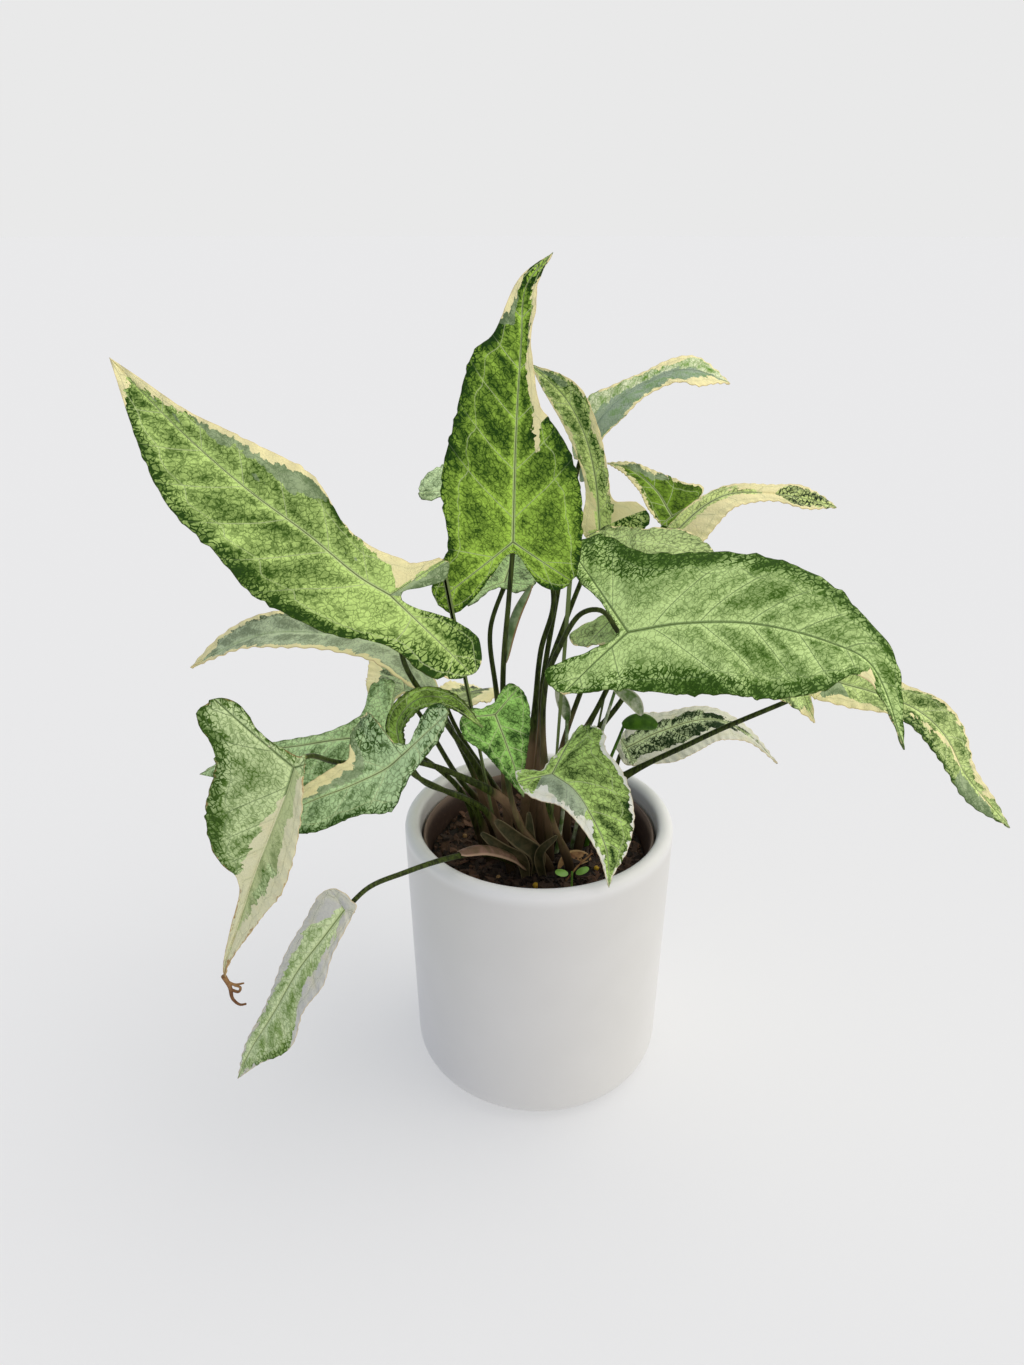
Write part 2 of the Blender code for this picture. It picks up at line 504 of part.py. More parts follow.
def split_grid(flat, index):
    """Two triangles for each cell of a flat grid, cut so that the smaller one is as large as it can be."""
    corners = [(slice(None, -1), slice(None, -1)), (slice(1, None), slice(None, -1)),
               (slice(1, None), slice(1, None)), (slice(None, -1), slice(1, None))]
    a, b, c, d = [flat[corner].reshape(-1, 2) for corner in corners]
    i, j, k, m = [index[corner].ravel() for corner in corners]

    def area(p, q, r):
        return (r[:, 0] - p[:, 0]) * (q[:, 1] - p[:, 1]) - (q[:, 0] - p[:, 0]) * (r[:, 1] - p[:, 1])

    straight = (np.minimum(area(a, b, c), area(a, c, d)) >= np.minimum(area(a, b, d), area(b, c, d)))[:, None]
    first = np.where(straight, np.stack([i, j, k], 1), np.stack([i, j, m], 1))
    second = np.where(straight, np.stack([i, k, m], 1), np.stack([j, k, m], 1))
    return np.concatenate([first, second])


def blade_surface(leaf, grid):
    """Middle surface of a blade: points, their distance from the midrib, and triangles."""
    curve, length = smooth_curve(leaf["rib"], RIB_SAMPLES)
    along, normals = carried_frame(curve, np.array(leaf["face"], float))
    points = []
    across = []
    flats = []
    triangles = []
    start = 0
    for side in (0, 1):
        outline = blade_outline(leaf, side, length)
        flat = blade_half(leaf, side, length, grid)
        width = outline[:, 0].max()
        lobe = -outline[:, 1].min()
        solid = blade_point(leaf, side, flat, (curve, along, normals), length, width, lobe)
        index = start + np.arange(flat[..., 0].size).reshape(flat.shape[:2])
        sheet = split_grid(flat, index)
        triangles.append(sheet[:, ::-1] if side == 1 else sheet)
        points.append(solid.reshape(-1, 3))
        signed = flat * np.array([-1.0 if side == 0 else 1.0, 1.0])
        flats.append(signed.reshape(-1, 2))
        across.append(np.broadcast_to(np.linspace(0.0, 1.0, flat.shape[1]), flat.shape[:2]).ravel())
        start += len(points[-1])
    points = np.concatenate(points)
    across = np.concatenate(across)
    triangles = np.concatenate(triangles)
    keys = np.round(np.concatenate(flats) * 100).astype(int)
    _, first, same = np.unique(keys, axis=0, return_index=True, return_inverse=True)
    triangles = same.reshape(-1)[triangles]
    whole = (triangles[:, 0] != triangles[:, 1]) & (triangles[:, 1] != triangles[:, 2])
    whole &= triangles[:, 0] != triangles[:, 2]
    return points[first], across[first], triangles[whole]


def make_blade(leaf, material):
    """The middle surface given its thickness, with both faces split into triangles alike."""
    grid = LARGE_GRID if leaf["name"] in LARGE_LEAVES else SMALL_GRID
    points, across, triangles = blade_surface(leaf, grid)
    face_normals = np.cross(points[triangles[:, 1]] - points[triangles[:, 0]],
                            points[triangles[:, 2]] - points[triangles[:, 0]])
    normals = np.zeros_like(points)
    for corner in range(3):
        np.add.at(normals, triangles[:, corner], face_normals)
    half = np.where(across == 0.0, MIDRIB_THICKNESS, BLADE_THICKNESS) / 2
    offset = unit(normals) * half[:, None]
    count = len(points)
    edges = np.concatenate([triangles[:, [0, 1]], triangles[:, [1, 2]], triangles[:, [2, 0]]])
    _, first, times = np.unique(np.sort(edges, 1), axis=0, return_index=True, return_counts=True)
    rim = edges[first[times == 1]]
    walls = np.concatenate([np.stack([rim[:, 1], rim[:, 0], rim[:, 0] + count], 1),
                            np.stack([rim[:, 1], rim[:, 0] + count, rim[:, 1] + count], 1)])
    faces = np.concatenate([triangles, triangles[:, ::-1] + count, walls])
    both_faces = np.concatenate([points + offset, points - offset])
    return add_object("blade_" + leaf["name"], both_faces, faces, material)


def petiole_path(leaf):
    """Centre line from below the soil, straight up out of its hole, then through its points to the sinus."""
    curve, _ = smooth_curve(leaf["rib"], RIB_SAMPLES)
    along, normals = carried_frame(curve, np.array(leaf["face"], float))
    joint = np.array(leaf["rib"][0], float)
    last = np.array(leaf["via"][-1], float)
    arrival = unit(joint - last)
    rise = float(np.dot(arrival, normals[0]))
    if rise > UNDERSIDE_RISE:
        below_blade = BLADE_THICKNESS / 2 + JOINT_GAP + TIP_RADIUS * math.sqrt(1.0 - rise ** 2)
        end = joint - normals[0] * below_blade
    else:
        slant = math.sqrt(1.0 - float(np.dot(arrival, along[0])) ** 2)
        behind_sinus = SINUS_DEPTH + JOINT_GAP + TIP_RADIUS * slant
        end = joint - along[0] * behind_sinus - normals[0] * JOINT_LOW
    x, y = leaf["root"]
    bottom = SOIL_TOP - ROOT_DEPTH
    below = [(x, y, bottom), (x, y, bottom + ROOT_STRAIGHT), (x, y, bottom + 2 * ROOT_STRAIGHT)]
    return np.array(below + list(leaf["via"]) + [tuple(end)], float)


def make_petiole(leaf, material):
    """A tube along the petiole's centre line: flattened sheath below, thin round stalk above."""
    length = smooth_curve(petiole_path(leaf), 2)[1]
    rings = int(np.clip(length / PETIOLE_RING_STEP, *PETIOLE_RINGS))
    path, length = smooth_curve(petiole_path(leaf), rings + 1)
    along, normals = carried_frame(path, np.array([0.0, -1.0, 0.2]))
    across = np.cross(along, normals)
    k = np.linspace(0.0, 1.0, rings + 1)
    narrowing = np.clip((k - SHEATH_END) / (STALK_START - SHEATH_END), 0.0, 1.0)
    radius = SHEATH_RADIUS + (STALK_RADIUS - SHEATH_RADIUS) * narrowing
    radius = radius + (TIP_RADIUS - STALK_RADIUS) * np.clip((k - STALK_START) / (1.0 - STALK_START), 0.0, 1.0)
    flatten = SHEATH_FLATTEN + (1.0 - SHEATH_FLATTEN) * narrowing
    angles = math.tau * np.arange(PETIOLE_SIDES) / PETIOLE_SIDES
    wide = (radius[:, None] * np.cos(angles))[..., None] * across[:, None]
    deep = ((radius * flatten)[:, None] * np.sin(angles))[..., None] * normals[:, None]
    points = (path[:, None] + wide + deep).reshape(-1, 3)
    faces = []
    for ring in range(rings):
        for side in range(PETIOLE_SIDES):
            n = (side + 1) % PETIOLE_SIDES
            a = ring * PETIOLE_SIDES
            b = a + PETIOLE_SIDES
            faces.append([a + side, b + side, a + n])
            faces.append([a + n, b + side, b + n])
    faces.append(list(range(PETIOLE_SIDES)))
    faces.append([rings * PETIOLE_SIDES + side for side in reversed(range(PETIOLE_SIDES))])
    return add_object("petiole_" + leaf["name"], points, faces, material)


def make_seedling(material):
    """A thin stem with two small round seed leaves, fused in one body."""
    x, y = SEEDLING_ROOT
    top = float(soil_height(x, y)) + SEEDLING_HEIGHT
    root = SOIL_TOP - ROOT_DEPTH
    bm = bmesh.new()
    bmesh.ops.create_cone(bm, cap_ends=True, segments=PETIOLE_SIDES, radius1=SEEDLING_STEM_RADIUS * MM,
                          radius2=SEEDLING_STEM_RADIUS * MM, depth=(top - root) * MM)
    bmesh.ops.translate(bm, verts=bm.verts, vec=(x * MM, y * MM, (top + root) / 2 * MM))
    mesh = bpy.data.meshes.new("seedling")
    bm.to_mesh(mesh)
    bm.free()
    mesh.materials.append(material)
    stem = bpy.data.objects.new("seedling", mesh)
    bpy.context.scene.collection.objects.link(stem)
    sides = SEEDLING_SIDES
    angles = math.tau * np.arange(sides) / sides
    for sign, hand in ((-1, "left"), (1, "right")):
        points = []
        for level in (-0.5, 0.5):
            u = SEEDLING_LEAF_RADIUS * (np.cos(angles) + SEEDLING_LEAF_REACH * sign)
            v = SEEDLING_LEAF_RADIUS * SEEDLING_LEAF_WIDTH * np.sin(angles) + SEEDLING_LEAF_SKEW * u
            rise = sign * u * math.tan(SEEDLING_LEAF_TILT) + level * SEEDLING_LEAF_THICKNESS
            points += np.stack([x + u, y + v, top - SEEDLING_LEAF_BELOW_TOP + rise], -1).tolist()
        faces = [list(reversed(range(sides))), [sides + k for k in range(sides)]]
        faces += [[k, (k + 1) % sides, sides + (k + 1) % sides, sides + k] for k in range(sides)]
        leaf = add_object("seedling_cutter_" + hand, points, faces, material)
        leaf.hide_render = True
        leaf.display_type = "WIRE"
        join = stem.modifiers.new("leaf", "BOOLEAN")
        join.operation = "UNION"
        join.object = leaf
    return stem


clear_scene()
ceramic = make_material("white_glaze", (0.80, 0.79, 0.76), 0.35)
plastic = make_material("brown_plastic", (0.16, 0.10, 0.08), 0.45)
earth = make_material("dark_bark_soil", (0.045, 0.030, 0.022), 0.95)
blade_green = make_material("variegated_blade", (0.20, 0.33, 0.10), 0.45)
petiole_olive = make_material("olive_petiole", (0.10, 0.13, 0.05), 0.5)
seedling_green = make_material("seedling_green", (0.22, 0.42, 0.10), 0.5)

make_cover_pot(ceramic)
make_nursery_pot(plastic)
root_holes = [(leaf["root"], SHEATH_RADIUS) for leaf in LEAVES]
root_holes.append((SEEDLING_ROOT, SEEDLING_STEM_RADIUS))
make_soil(earth, root_holes)
for each_leaf in LEAVES:
    make_blade(each_leaf, blade_green)
    make_petiole(each_leaf, petiole_olive)
make_seedling(seedling_green)
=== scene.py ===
import math

import bpy
import numpy as np
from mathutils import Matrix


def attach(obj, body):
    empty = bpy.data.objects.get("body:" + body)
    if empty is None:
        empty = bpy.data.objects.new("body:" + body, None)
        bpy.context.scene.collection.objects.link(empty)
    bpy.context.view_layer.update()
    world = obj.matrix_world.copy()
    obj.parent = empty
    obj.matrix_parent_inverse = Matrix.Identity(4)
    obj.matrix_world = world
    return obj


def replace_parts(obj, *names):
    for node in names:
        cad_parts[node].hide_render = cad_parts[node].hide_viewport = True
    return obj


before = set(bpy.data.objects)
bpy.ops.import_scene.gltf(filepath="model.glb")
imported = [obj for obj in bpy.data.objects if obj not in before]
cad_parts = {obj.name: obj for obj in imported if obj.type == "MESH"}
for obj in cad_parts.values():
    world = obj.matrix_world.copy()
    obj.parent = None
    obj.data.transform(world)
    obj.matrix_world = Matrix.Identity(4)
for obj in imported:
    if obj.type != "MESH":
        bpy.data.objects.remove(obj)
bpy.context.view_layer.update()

# Camera
# The view was found from the pot's rim and foot in the photograph: the plant is seen from the front and
# well above, so the pot's upright sides draw in towards its foot.
CAMERA_PLACE = (0.0, -0.4486, 0.4299)
CAMERA_DIP = 24.66
CAMERA_TURN = 1.79
LENS = 26.374
SENSOR_WIDTH = 36.0
FARTHEST_SEEN = 100.0

camera_data = bpy.data.cameras.new("camera")
camera_data.sensor_width = SENSOR_WIDTH
camera_data.lens = LENS
camera_data.clip_end = FARTHEST_SEEN
camera = bpy.data.objects.new("camera", camera_data)
camera.location = CAMERA_PLACE
camera.rotation_euler = (math.radians(90.0 - CAMERA_DIP), 0.0, math.radians(CAMERA_TURN))
bpy.context.scene.collection.objects.link(camera)
bpy.context.scene.camera = camera
bpy.context.scene.view_settings.view_transform = "Standard"

# Studio
# A plain pale floor that runs to the horizon under an even pale sky, as on a white sheet lit from below.
# The sky is darker and cooler at the viewer's left, and one very soft lamp stands high at the right.
SKY_LEFT = (0.15, 0.20, 0.36, 1.0)
SKY_RIGHT = (0.94, 0.91, 0.86, 1.0)
SKY_AHEAD = (0.815, 0.815, 0.815, 1.0)
LEFT_TO_RIGHT = (-0.8, 0.35)
SIDE_TO_AHEAD = (0.2, 0.75)
LAMP_POWER = 1.05
LAMP_ANGLE = math.radians(60)
LAMP_COLOUR = (1.0, 0.98, 0.94)
LAMP_FROM = (0.55, 0.15, 0.80)
FLOOR_RADIUS = 40.0
FLOOR_SIDES = 64
FLOOR_BELOW = 0.0002
FLOOR_COLOUR = (0.45, 0.45, 0.45, 1.0)
FLOOR_GLOW = 0.39
FLOOR_GLOW_COLOUR = (0.995, 1.0, 1.01, 1.0)


def put(node, key, value):
    """Sets an input socket to a constant, or links another node's output to it."""
    if isinstance(value, bpy.types.NodeSocket):
        node.id_data.links.new(value, node.inputs[key])
    else:
        node.inputs[key].default_value = value


def add_node(kind, sources, **settings):
    """A node with a constant or an output for each named socket, in the tree that the outputs come from."""
    tree = next(value.id_data for value in sources.values() if isinstance(value, bpy.types.NodeSocket))
    node = tree.nodes.new("ShaderNode" + kind)
    for key, setting in settings.items():
        setattr(node, key, setting)
    for key, value in sources.items():
        put(node, key, value)
    return node


def apart(place):
    """The three values of a vector, as separate outputs."""
    return tuple(add_node("SeparateXYZ", {0: place}).outputs)


def rise(value, low, high, start=0.0, end=1.0):
    """A smooth step from start, up to where value is low, to end, from where it is high."""
    sources = {"Value": value, "From Min": low, "From Max": high, "To Min": start, "To Max": end}
    return add_node("MapRange", sources, interpolation_type="SMOOTHSTEP").outputs["Result"]


def mix_colour(share, first, second):
    """The first colour with a share of the second."""
    return add_node("Mix", {0: share, 6: first, 7: second}, data_type="RGBA").outputs[2]


def new_material(name, roughness, gloss=0.5):
    """A node material of an even roughness and gloss; returns it with its Principled shader."""
    material = bpy.data.materials.new(name)
    material.use_nodes = True
    shader = material.node_tree.nodes["Principled BSDF"]
    put(shader, "Roughness", roughness)
    put(shader, "Specular IOR Level", gloss)
    return material, shader


world = bpy.data.worlds.new("studio")
world.use_nodes = True
bpy.context.scene.world = world
to_right, ahead, _ = apart(world.node_tree.nodes.new("ShaderNodeTexCoord").outputs["Generated"])
sides_colour = mix_colour(rise(to_right, *LEFT_TO_RIGHT), SKY_LEFT, SKY_RIGHT)
sky_colour = mix_colour(rise(ahead, *SIDE_TO_AHEAD), sides_colour, SKY_AHEAD)
put(world.node_tree.nodes["Background"], "Color", sky_colour)

lamp_data = bpy.data.lights.new("soft_lamp", "SUN")
lamp_data.energy = LAMP_POWER
lamp_data.angle = LAMP_ANGLE
lamp_data.color = LAMP_COLOUR
lamp = bpy.data.objects.new("soft_lamp", lamp_data)
lamp_pitch = math.atan2(math.hypot(LAMP_FROM[0], LAMP_FROM[1]), LAMP_FROM[2])
lamp.rotation_euler = (lamp_pitch, 0.0, math.atan2(LAMP_FROM[1], LAMP_FROM[0]) + math.pi / 2)
bpy.context.scene.collection.objects.link(lamp)

floor_material, floor_shader = new_material("studio_floor", 1.0, 0.0)
put(floor_shader, "Base Color", FLOOR_COLOUR)
put(floor_shader, "Emission Color", FLOOR_GLOW_COLOUR)
put(floor_shader, "Emission Strength", FLOOR_GLOW)
floor_circle = [(FLOOR_RADIUS * math.cos(a), FLOOR_RADIUS * math.sin(a), -FLOOR_BELOW)
                for a in np.linspace(0.0, math.tau, FLOOR_SIDES, endpoint=False)]
floor_mesh = bpy.data.meshes.new("studio_floor")
floor_mesh.from_pydata(floor_circle, [], [list(range(FLOOR_SIDES))])
floor_mesh.materials.append(floor_material)
floor = bpy.data.objects.new("studio_floor", floor_mesh)
bpy.context.scene.collection.objects.link(floor)

# Blades
# Each is one thin leaf blade, grown on the end of its stalk: the midrib and a straight vein down each
# lobe carry side veins that arch out to a vein inside the margin, with a finer net between them.
# Green mottling lies between the veins, and cream and grey-green bands run in from the margins.
MM = 0.001
MARGIN_SAMPLES = 400
RIB_SAMPLES = 200
CURVE_STEPS = 60
SINUS_DEPTH = 5.0
SINUS_HALF_WIDTH = 1.9
SINUS_FALL = 0.4
RAY_SLANT = 0.55
RAY_SAG = 0.1
SWING_FADE = math.radians(50)
CURL_REACH = 0.2
WAVES = 3
USUAL_CURL = (-6, -6)
USUAL_LOBE_DROP = (10, 10)
SECOND_HALF_PHASE = 2.1
VEIN_SPACING = 17.0
ROWS_PER_VEIN = 13
COLUMNS = 22
COLUMN_POWER = 1.25
LAST_COLUMN = 0.985
SIDE_SLANT = 0.5
INNER_VEIN = 0.72
SCALLOP = 0.045
MIDRIB_WIDTHS = (0.85, 0.30)
LOBE_VEIN_WIDTHS = (0.60, 0.25)
CRINKLE = 0.42
CRINKLE_RATES = (0.44, 0.79, 0.058)
CRINKLE_LIFT = 0.45
CRINKLE_LIFT_RATE = 0.33
FLAT_BELOW_WIDTH = 0.15
FULL_CRINKLE_WIDTH = 25.0
QUILT = 0.55
HALF_THICKNESS = (0.38, 0.22)
RIB_SINK = 0.25
RIB_KEEL = 0.75
KEEL_WIDTH = 1.4
BAND_LIMIT = 9.0
LEAST_ROW = 4.0
PAST_MARGIN = 2
WELD_STEPS = 100

# The shape of each leaf in millimetres, as in the part: root is where its stalk stands in the soil, via
# and rib are points along the stalk and the midrib, face is where the upper side looks at the joint.
# left and right are the flat outlines of the halves from the sinus to near the tip, across and along the
# rib. fold and curl are degrees a half lifts at the joint and bends on the way out, lobe_drop is degrees
# a lobe bends down behind the joint, and swing is degrees both lobes turn to the right.
LEAVES = [
    dict(name="tall", root=(-15, -13), via=[(-18, -12, 230), (-15, -16, 273)],
         rib=[(-13, -18, 301), (-12, -14, 345), (-10, -6, 383), (-8, 2, 406), (3, 8, 419)],
         face=(0, -1, 0.1), fold=(8, 8), tip_fold=(12, 15), curl=(-4, -4), wave=1.5, lobe_drop=(-5, -5),
         left=[(9, -15), (19, -28), (27, -33), (36, -23), (29, -2), (32, 25), (26, 54), (20, 79),
               (13, 86), (7, 99)],
         right=[(13, -19), (21, -21), (28, -15), (30, 19), (24, 40), (15, 53), (10, 59), (6, 75), (4, 87),
                (6, 100)]),
    dict(name="left_big", root=(-19, -4), via=[(-28, -12, 175), (-43, -24, 210), (-61, -34, 246)],
         rib=[(-65, -45, 285), (-77, -48, 294), (-97, -50, 313), (-120, -51, 332), (-145, -47, 354),
              (-175, -34, 381)],
         face=(0.1, -0.8, 0.5), fold=(4, 8), tip_fold=(10, 18), wave=1.8, lobe_drop=(5, 0),
         swing=26,
         left=[(5, -13), (9, -30), (18, -44), (32, -43), (32, -24), (21, -6), (29, 18), (34, 48),
               (29, 68), (26, 90), (11, 124)],
         right=[(4, -13), (9, -25), (16, -25), (16, 2), (14, 16), (13, 34), (21, 58), (14, 90), (8, 110),
                (3, 135)]),
    dict(name="right_big", root=(6, -13), via=[(2, -16, 227), (9, -22, 253), (18, -30, 272), (27, -38, 276)],
         rib=[(38, -40, 267), (59, -42, 272), (91, -46, 274), (122, -54, 269), (138, -60, 262),
              (154, -72, 228)],
         face=(0, -0.6, 0.8), fold=(5, 5), tip_fold=(8, 8), wave=1.7, lobe_drop=(0, 0),
         left=[(17, -10), (35, -21), (52, -21), (57, -9), (38, 14), (36, 41), (32, 65), (26, 83),
               (15, 99), (9, 117)],
         right=[(6, -17), (13, -38), (23, -34), (28, -8), (34, 19), (36, 58), (27, 87), (9, 104), (3, 123)]),
    dict(name="left_behind", root=(-24, 5), via=[(-31, 4, 160), (-53, 6, 212)],
         rib=[(-63, 10, 231), (-85, 12, 241), (-111, 14, 243), (-142, 18, 240), (-183, 24, 219)],
         face=(0, -0.5, 0.8), fold=(12, 12), tip_fold=(25, 25), wave=2.0,
         left=[(7, -15), (14, -19), (16, 0), (13, 25), (12, 45), (12, 62), (8, 91)],
         right=[(7, -14), (14, -18), (17, 4), (19, 33), (13, 62), (11, 80), (9, 104)]),
    dict(name="left_hanging", root=(-5, -14),
         via=[(-15, -21, 166), (-37, -30, 187), (-60, -40, 201), (-90, -48, 204), (-98, -78, 224)],
         rib=[(-100, -95, 228), (-103, -97, 219), (-111, -98, 200), (-120, -98, 179), (-132, -94, 148),
              (-143, -90, 120), (-145, -88, 109)],
         face=(0.15, -0.9, 0.3), fold=(30, 5), tip_fold=(30, 15), curl=(-6, -8), wave=1.2,
         left=[(3, -7), (6, 4), (11, 20), (15, 51), (10, 74), (4, 101)],
         right=[(16, -10), (28, -19), (37, -19), (43, -10), (32, 3), (28, 32), (18, 51), (6, 61), (3, 92)]),
    dict(name="left_low", root=(-14, -23), via=[(-25, -24, 163), (-46, -40, 186), (-58, -54, 203)],
         rib=[(-61, -60, 215), (-68, -61, 209), (-84, -65, 202), (-106, -70, 194), (-124, -72, 181)],
         face=(0, -0.75, 0.65), fold=(5, 10), tip_fold=(5, 10), wave=1.5, lobe_drop=(0, 0),
         swing=42,
         left=[(5, -16), (8, -23), (13, -26), (18, -23), (15, -13), (9, -2), (12, 7), (18, 15), (14, 28),
               (13, 52)],
         right=[(11, -2), (24, -1), (25, 8), (22, 17), (11, 24), (11, 29), (7, 48)]),
    dict(name="left_low_behind", root=(-29, -4), via=[(-39, -10, 166), (-54, -18, 188)],
         rib=[(-74, -25, 205), (-92, -28, 206), (-114, -30, 203), (-133, -31, 200), (-152, -30, 193),
              (-166, -28, 185)],
         face=(0, -0.7, 0.7), fold=(0, 0), tip_fold=(0, 0), wave=1.8,
         left=[(8, -14), (18, -4), (24, 23), (18, 52), (10, 78)],
         right=[(14, -4), (30, -4), (29, 6), (12, 12), (5, 26), (4, 43), (3, 71)]),
    dict(name="low_left_pale", root=(-4, -24),
         via=[(-13, -31, 140), (-26, -42, 152), (-44, -60, 160), (-60, -78, 165), (-74, -91, 166)],
         rib=[(-83, -100, 161), (-93, -104, 148), (-104, -106, 133), (-117, -106, 109), (-132, -104, 82),
              (-141, -100, 61)],
         face=(-0.2, -0.8, 0.55), fold=(0, 0), tip_fold=(0, 0), wave=1.0, lobe_drop=(0, 0),
         left=[(3, -5), (5, 3), (8, 19), (13, 33), (12, 52), (15, 74), (8, 92)],
         right=[(9, -4), (13, 2), (11, 23), (8, 43), (5, 70), (4, 90)]),
    dict(name="young_arched", root=(-25, -14), via=[(-34, -22, 168), (-56, -34, 187)],
         rib=[(-65, -34, 203), (-66, -35, 219), (-55, -36, 232), (-41, -36, 231), (-26, -38, 218)],
         face=(-0.3, -0.6, 0.5), fold=(30, 30), tip_fold=(30, 30), wave=0.8, lobe_drop=(0, 0),
         left=[(4, -5), (5, 4), (6, 20), (5, 42), (2, 60)],
         right=[(4, -5), (5, 4), (6, 20), (5, 42), (2, 60)]),
    dict(name="small_centre", root=(6, -23), via=[(-10, -29, 162), (-18, -29, 202)],
         rib=[(-21, -30, 221), (-16, -33, 208), (-11, -36, 194), (-7, -38, 181)],
         face=(0.2, -0.8, 0.5), fold=(5, 10), tip_fold=(8, 15), wave=0.8,
         left=[(5, -8), (12, -11), (17, -4), (15, 9), (10, 19), (4, 31)],
         right=[(5, -5), (9, -7), (17, -4), (18, 4), (12, 14), (7, 27), (2, 39)]),
    dict(name="small_front", root=(16, -21), via=[(7, -32, 164), (4, -38, 182)],
         rib=[(6, -45, 198), (16, -52, 194), (24, -58, 184), (31, -64, 170), (33, -66, 150)],
         face=(0, -0.75, 0.65), fold=(5, 10), tip_fold=(8, 10), wave=1.2,
         left=[(15, -4), (28, -4), (30, 8), (24, 11), (23, 19), (18, 35), (10, 46), (3, 56)],
         right=[(5, -11), (9, -15), (15, -3), (11, 11), (7, 28), (5, 41), (2, 56)]),
    dict(name="right_pale", root=(26, 5), via=[(32, 12, 146), (41, 24, 162)],
         rib=[(47, 30, 172), (65, 36, 179), (93, 42, 184), (113, 44, 175), (133, 44, 156)],
         face=(0, -0.6, 0.8), fold=(0, 0), tip_fold=(0, 0), wave=1.0,
         left=[(8, 2), (14, 16), (10, 28), (8, 48), (5, 69)],
         right=[(8, -5), (14, 6), (19, 25), (11, 58), (4, 76)]),
    dict(name="far_right", root=(21, -4), via=[(32, 2, 159), (79, -8, 198), (117, -16, 223)],
         rib=[(136, -20, 236), (157, -26, 232), (173, -32, 227), (186, -35, 216), (198, -38, 197),
              (222, -42, 171)],
         face=(0.2, -0.7, 0.7), fold=(10, 10), tip_fold=(10, 10), wave=1.2,
         left=[(6, -8), (14, 5), (9, 33), (11, 48), (10, 66), (6, 81), (4, 99)],
         right=[(12, -7), (12, 8), (9, 28), (10, 40), (11, 54), (11, 72), (8, 94)]),
    dict(name="behind_tall", root=(1, -4), via=[(3, 4, 224), (11, 14, 248), (21, 30, 270)],
         rib=[(29, 44, 289), (26, 47, 315), (20, 50, 336), (10, 53, 353), (-7, 56, 368)],
         face=(-0.2, -0.9, 0.3), fold=(10, 10), tip_fold=(10, 10), wave=1.0,
         left=[(5, -6), (9, 1), (6, 17), (6, 31), (8, 54), (6, 76)],
         right=[(9, -3), (20, -3), (26, 5), (20, 13), (8, 15), (7, 29), (8, 52), (9, 67), (6, 78)]),
    dict(name="upper_right", root=(-4, 6), via=[(-2, 16, 177), (2, 26, 219), (9, 40, 262), (14, 55, 298)],
         rib=[(20, 62, 325), (28, 66, 340), (39, 72, 350), (54, 80, 357), (67, 86, 361), (80, 92, 360),
              (98, 100, 353)],
         face=(0, -0.6, 0.8), fold=(10, 10), tip_fold=(10, 10), wave=0.8,
         left=[(5, -2), (11, 10), (12, 24), (8, 34), (6, 51), (7, 64), (9, 82), (6, 92)],
         right=[(6, -14), (9, -12), (7, 0), (7, 9), (10, 26), (7, 47), (8, 64), (12, 75)]),
    dict(name="right_middle", root=(15, 5), via=[(17, 15, 171), (33, 25, 205), (57, 37, 260)],
         rib=[(65, 45, 296), (57, 55, 307), (45, 64, 315), (33, 72, 317)],
         face=(0, -0.7, 0.7), fold=(10, 10), tip_fold=(10, 10), wave=0.8,
         left=[(5, -5), (9, 3), (9, 13), (7, 24), (3, 40)],
         right=[(8, -3), (22, 8), (14, 13), (7, 25), (4, 37)]),
    dict(name="right_cream", root=(15, 15), via=[(25, 22, 176), (44, 26, 205), (63, 29, 255)],
         rib=[(67, 33, 293), (77, 36, 302), (89, 40, 308), (102, 43, 309), (128, 49, 305), (149, 54, 299)],
         face=(0, -0.6, 0.8), fold=(10, 10), tip_fold=(10, 10), wave=0.8,
         left=[(4, -7), (5, 4), (5, 14), (5, 29), (5, 46), (7, 71), (5, 82)],
         right=[(8, -4), (15, -2), (14, 9), (8, 35), (5, 54), (7, 71)]),
    dict(name="right_shaded", root=(11, -4), via=[(9, -4, 176), (20, -3, 221), (30, -5, 248)],
         rib=[(40, -8, 268), (68, -12, 272), (96, -16, 259), (118, -22, 237), (129, -26, 217)],
         face=(0.1, -0.55, 0.8), fold=(5, 5), tip_fold=(20, 20), wave=2.0,
         left=[(11, -11), (30, -18), (52, -13), (43, 10), (40, 24), (26, 38), (15, 60), (9, 85)],
         right=[(6, -14), (13, -27), (19, -25), (22, -8), (32, 20), (34, 45), (26, 75), (13, 100)]),
    dict(name="centre_back", root=(-14, 6), via=[(-22, 8, 213), (-25, 10, 248)],
         rib=[(-18, 14, 271), (-15, 34, 276), (-11, 62, 278), (-6, 96, 275)],
         face=(0, -0.3, 0.9), fold=(10, 10), tip_fold=(10, 10), wave=1.5,
         left=[(5, -8), (13, -23), (18, -14), (19, 10), (15, 40), (7, 65)],
         right=[(5, -8), (13, -6), (19, 12), (18, 40), (9, 65)]),
    dict(name="back_tall", root=(-9, -4), via=[(-3, 5, 200), (0, 14, 235), (6, 18, 262), (-6, 26, 296)],
         rib=[(-36, 36, 312), (-30, 54, 317), (-21, 84, 323), (-11, 118, 326)],
         face=(-0.1, -0.4, 0.9), fold=(8, 8), tip_fold=(10, 10), wave=1.5,
         left=[(6, -8), (17, -17), (25, -4), (22, 12), (20, 38), (11, 66)],
         right=[(8, -15), (20, -16), (28, -6), (27, 20), (19, 50), (9, 72)]),
    dict(name="back_left", root=(-20, 15), via=[(-42, 8, 164), (-60, 20, 190)],
         rib=[(-72, 32, 204), (-77, 56, 204), (-84, 86, 203), (-93, 118, 197)],
         face=(-0.1, -0.2, 1), fold=(10, 10), tip_fold=(25, 25), wave=1.5,
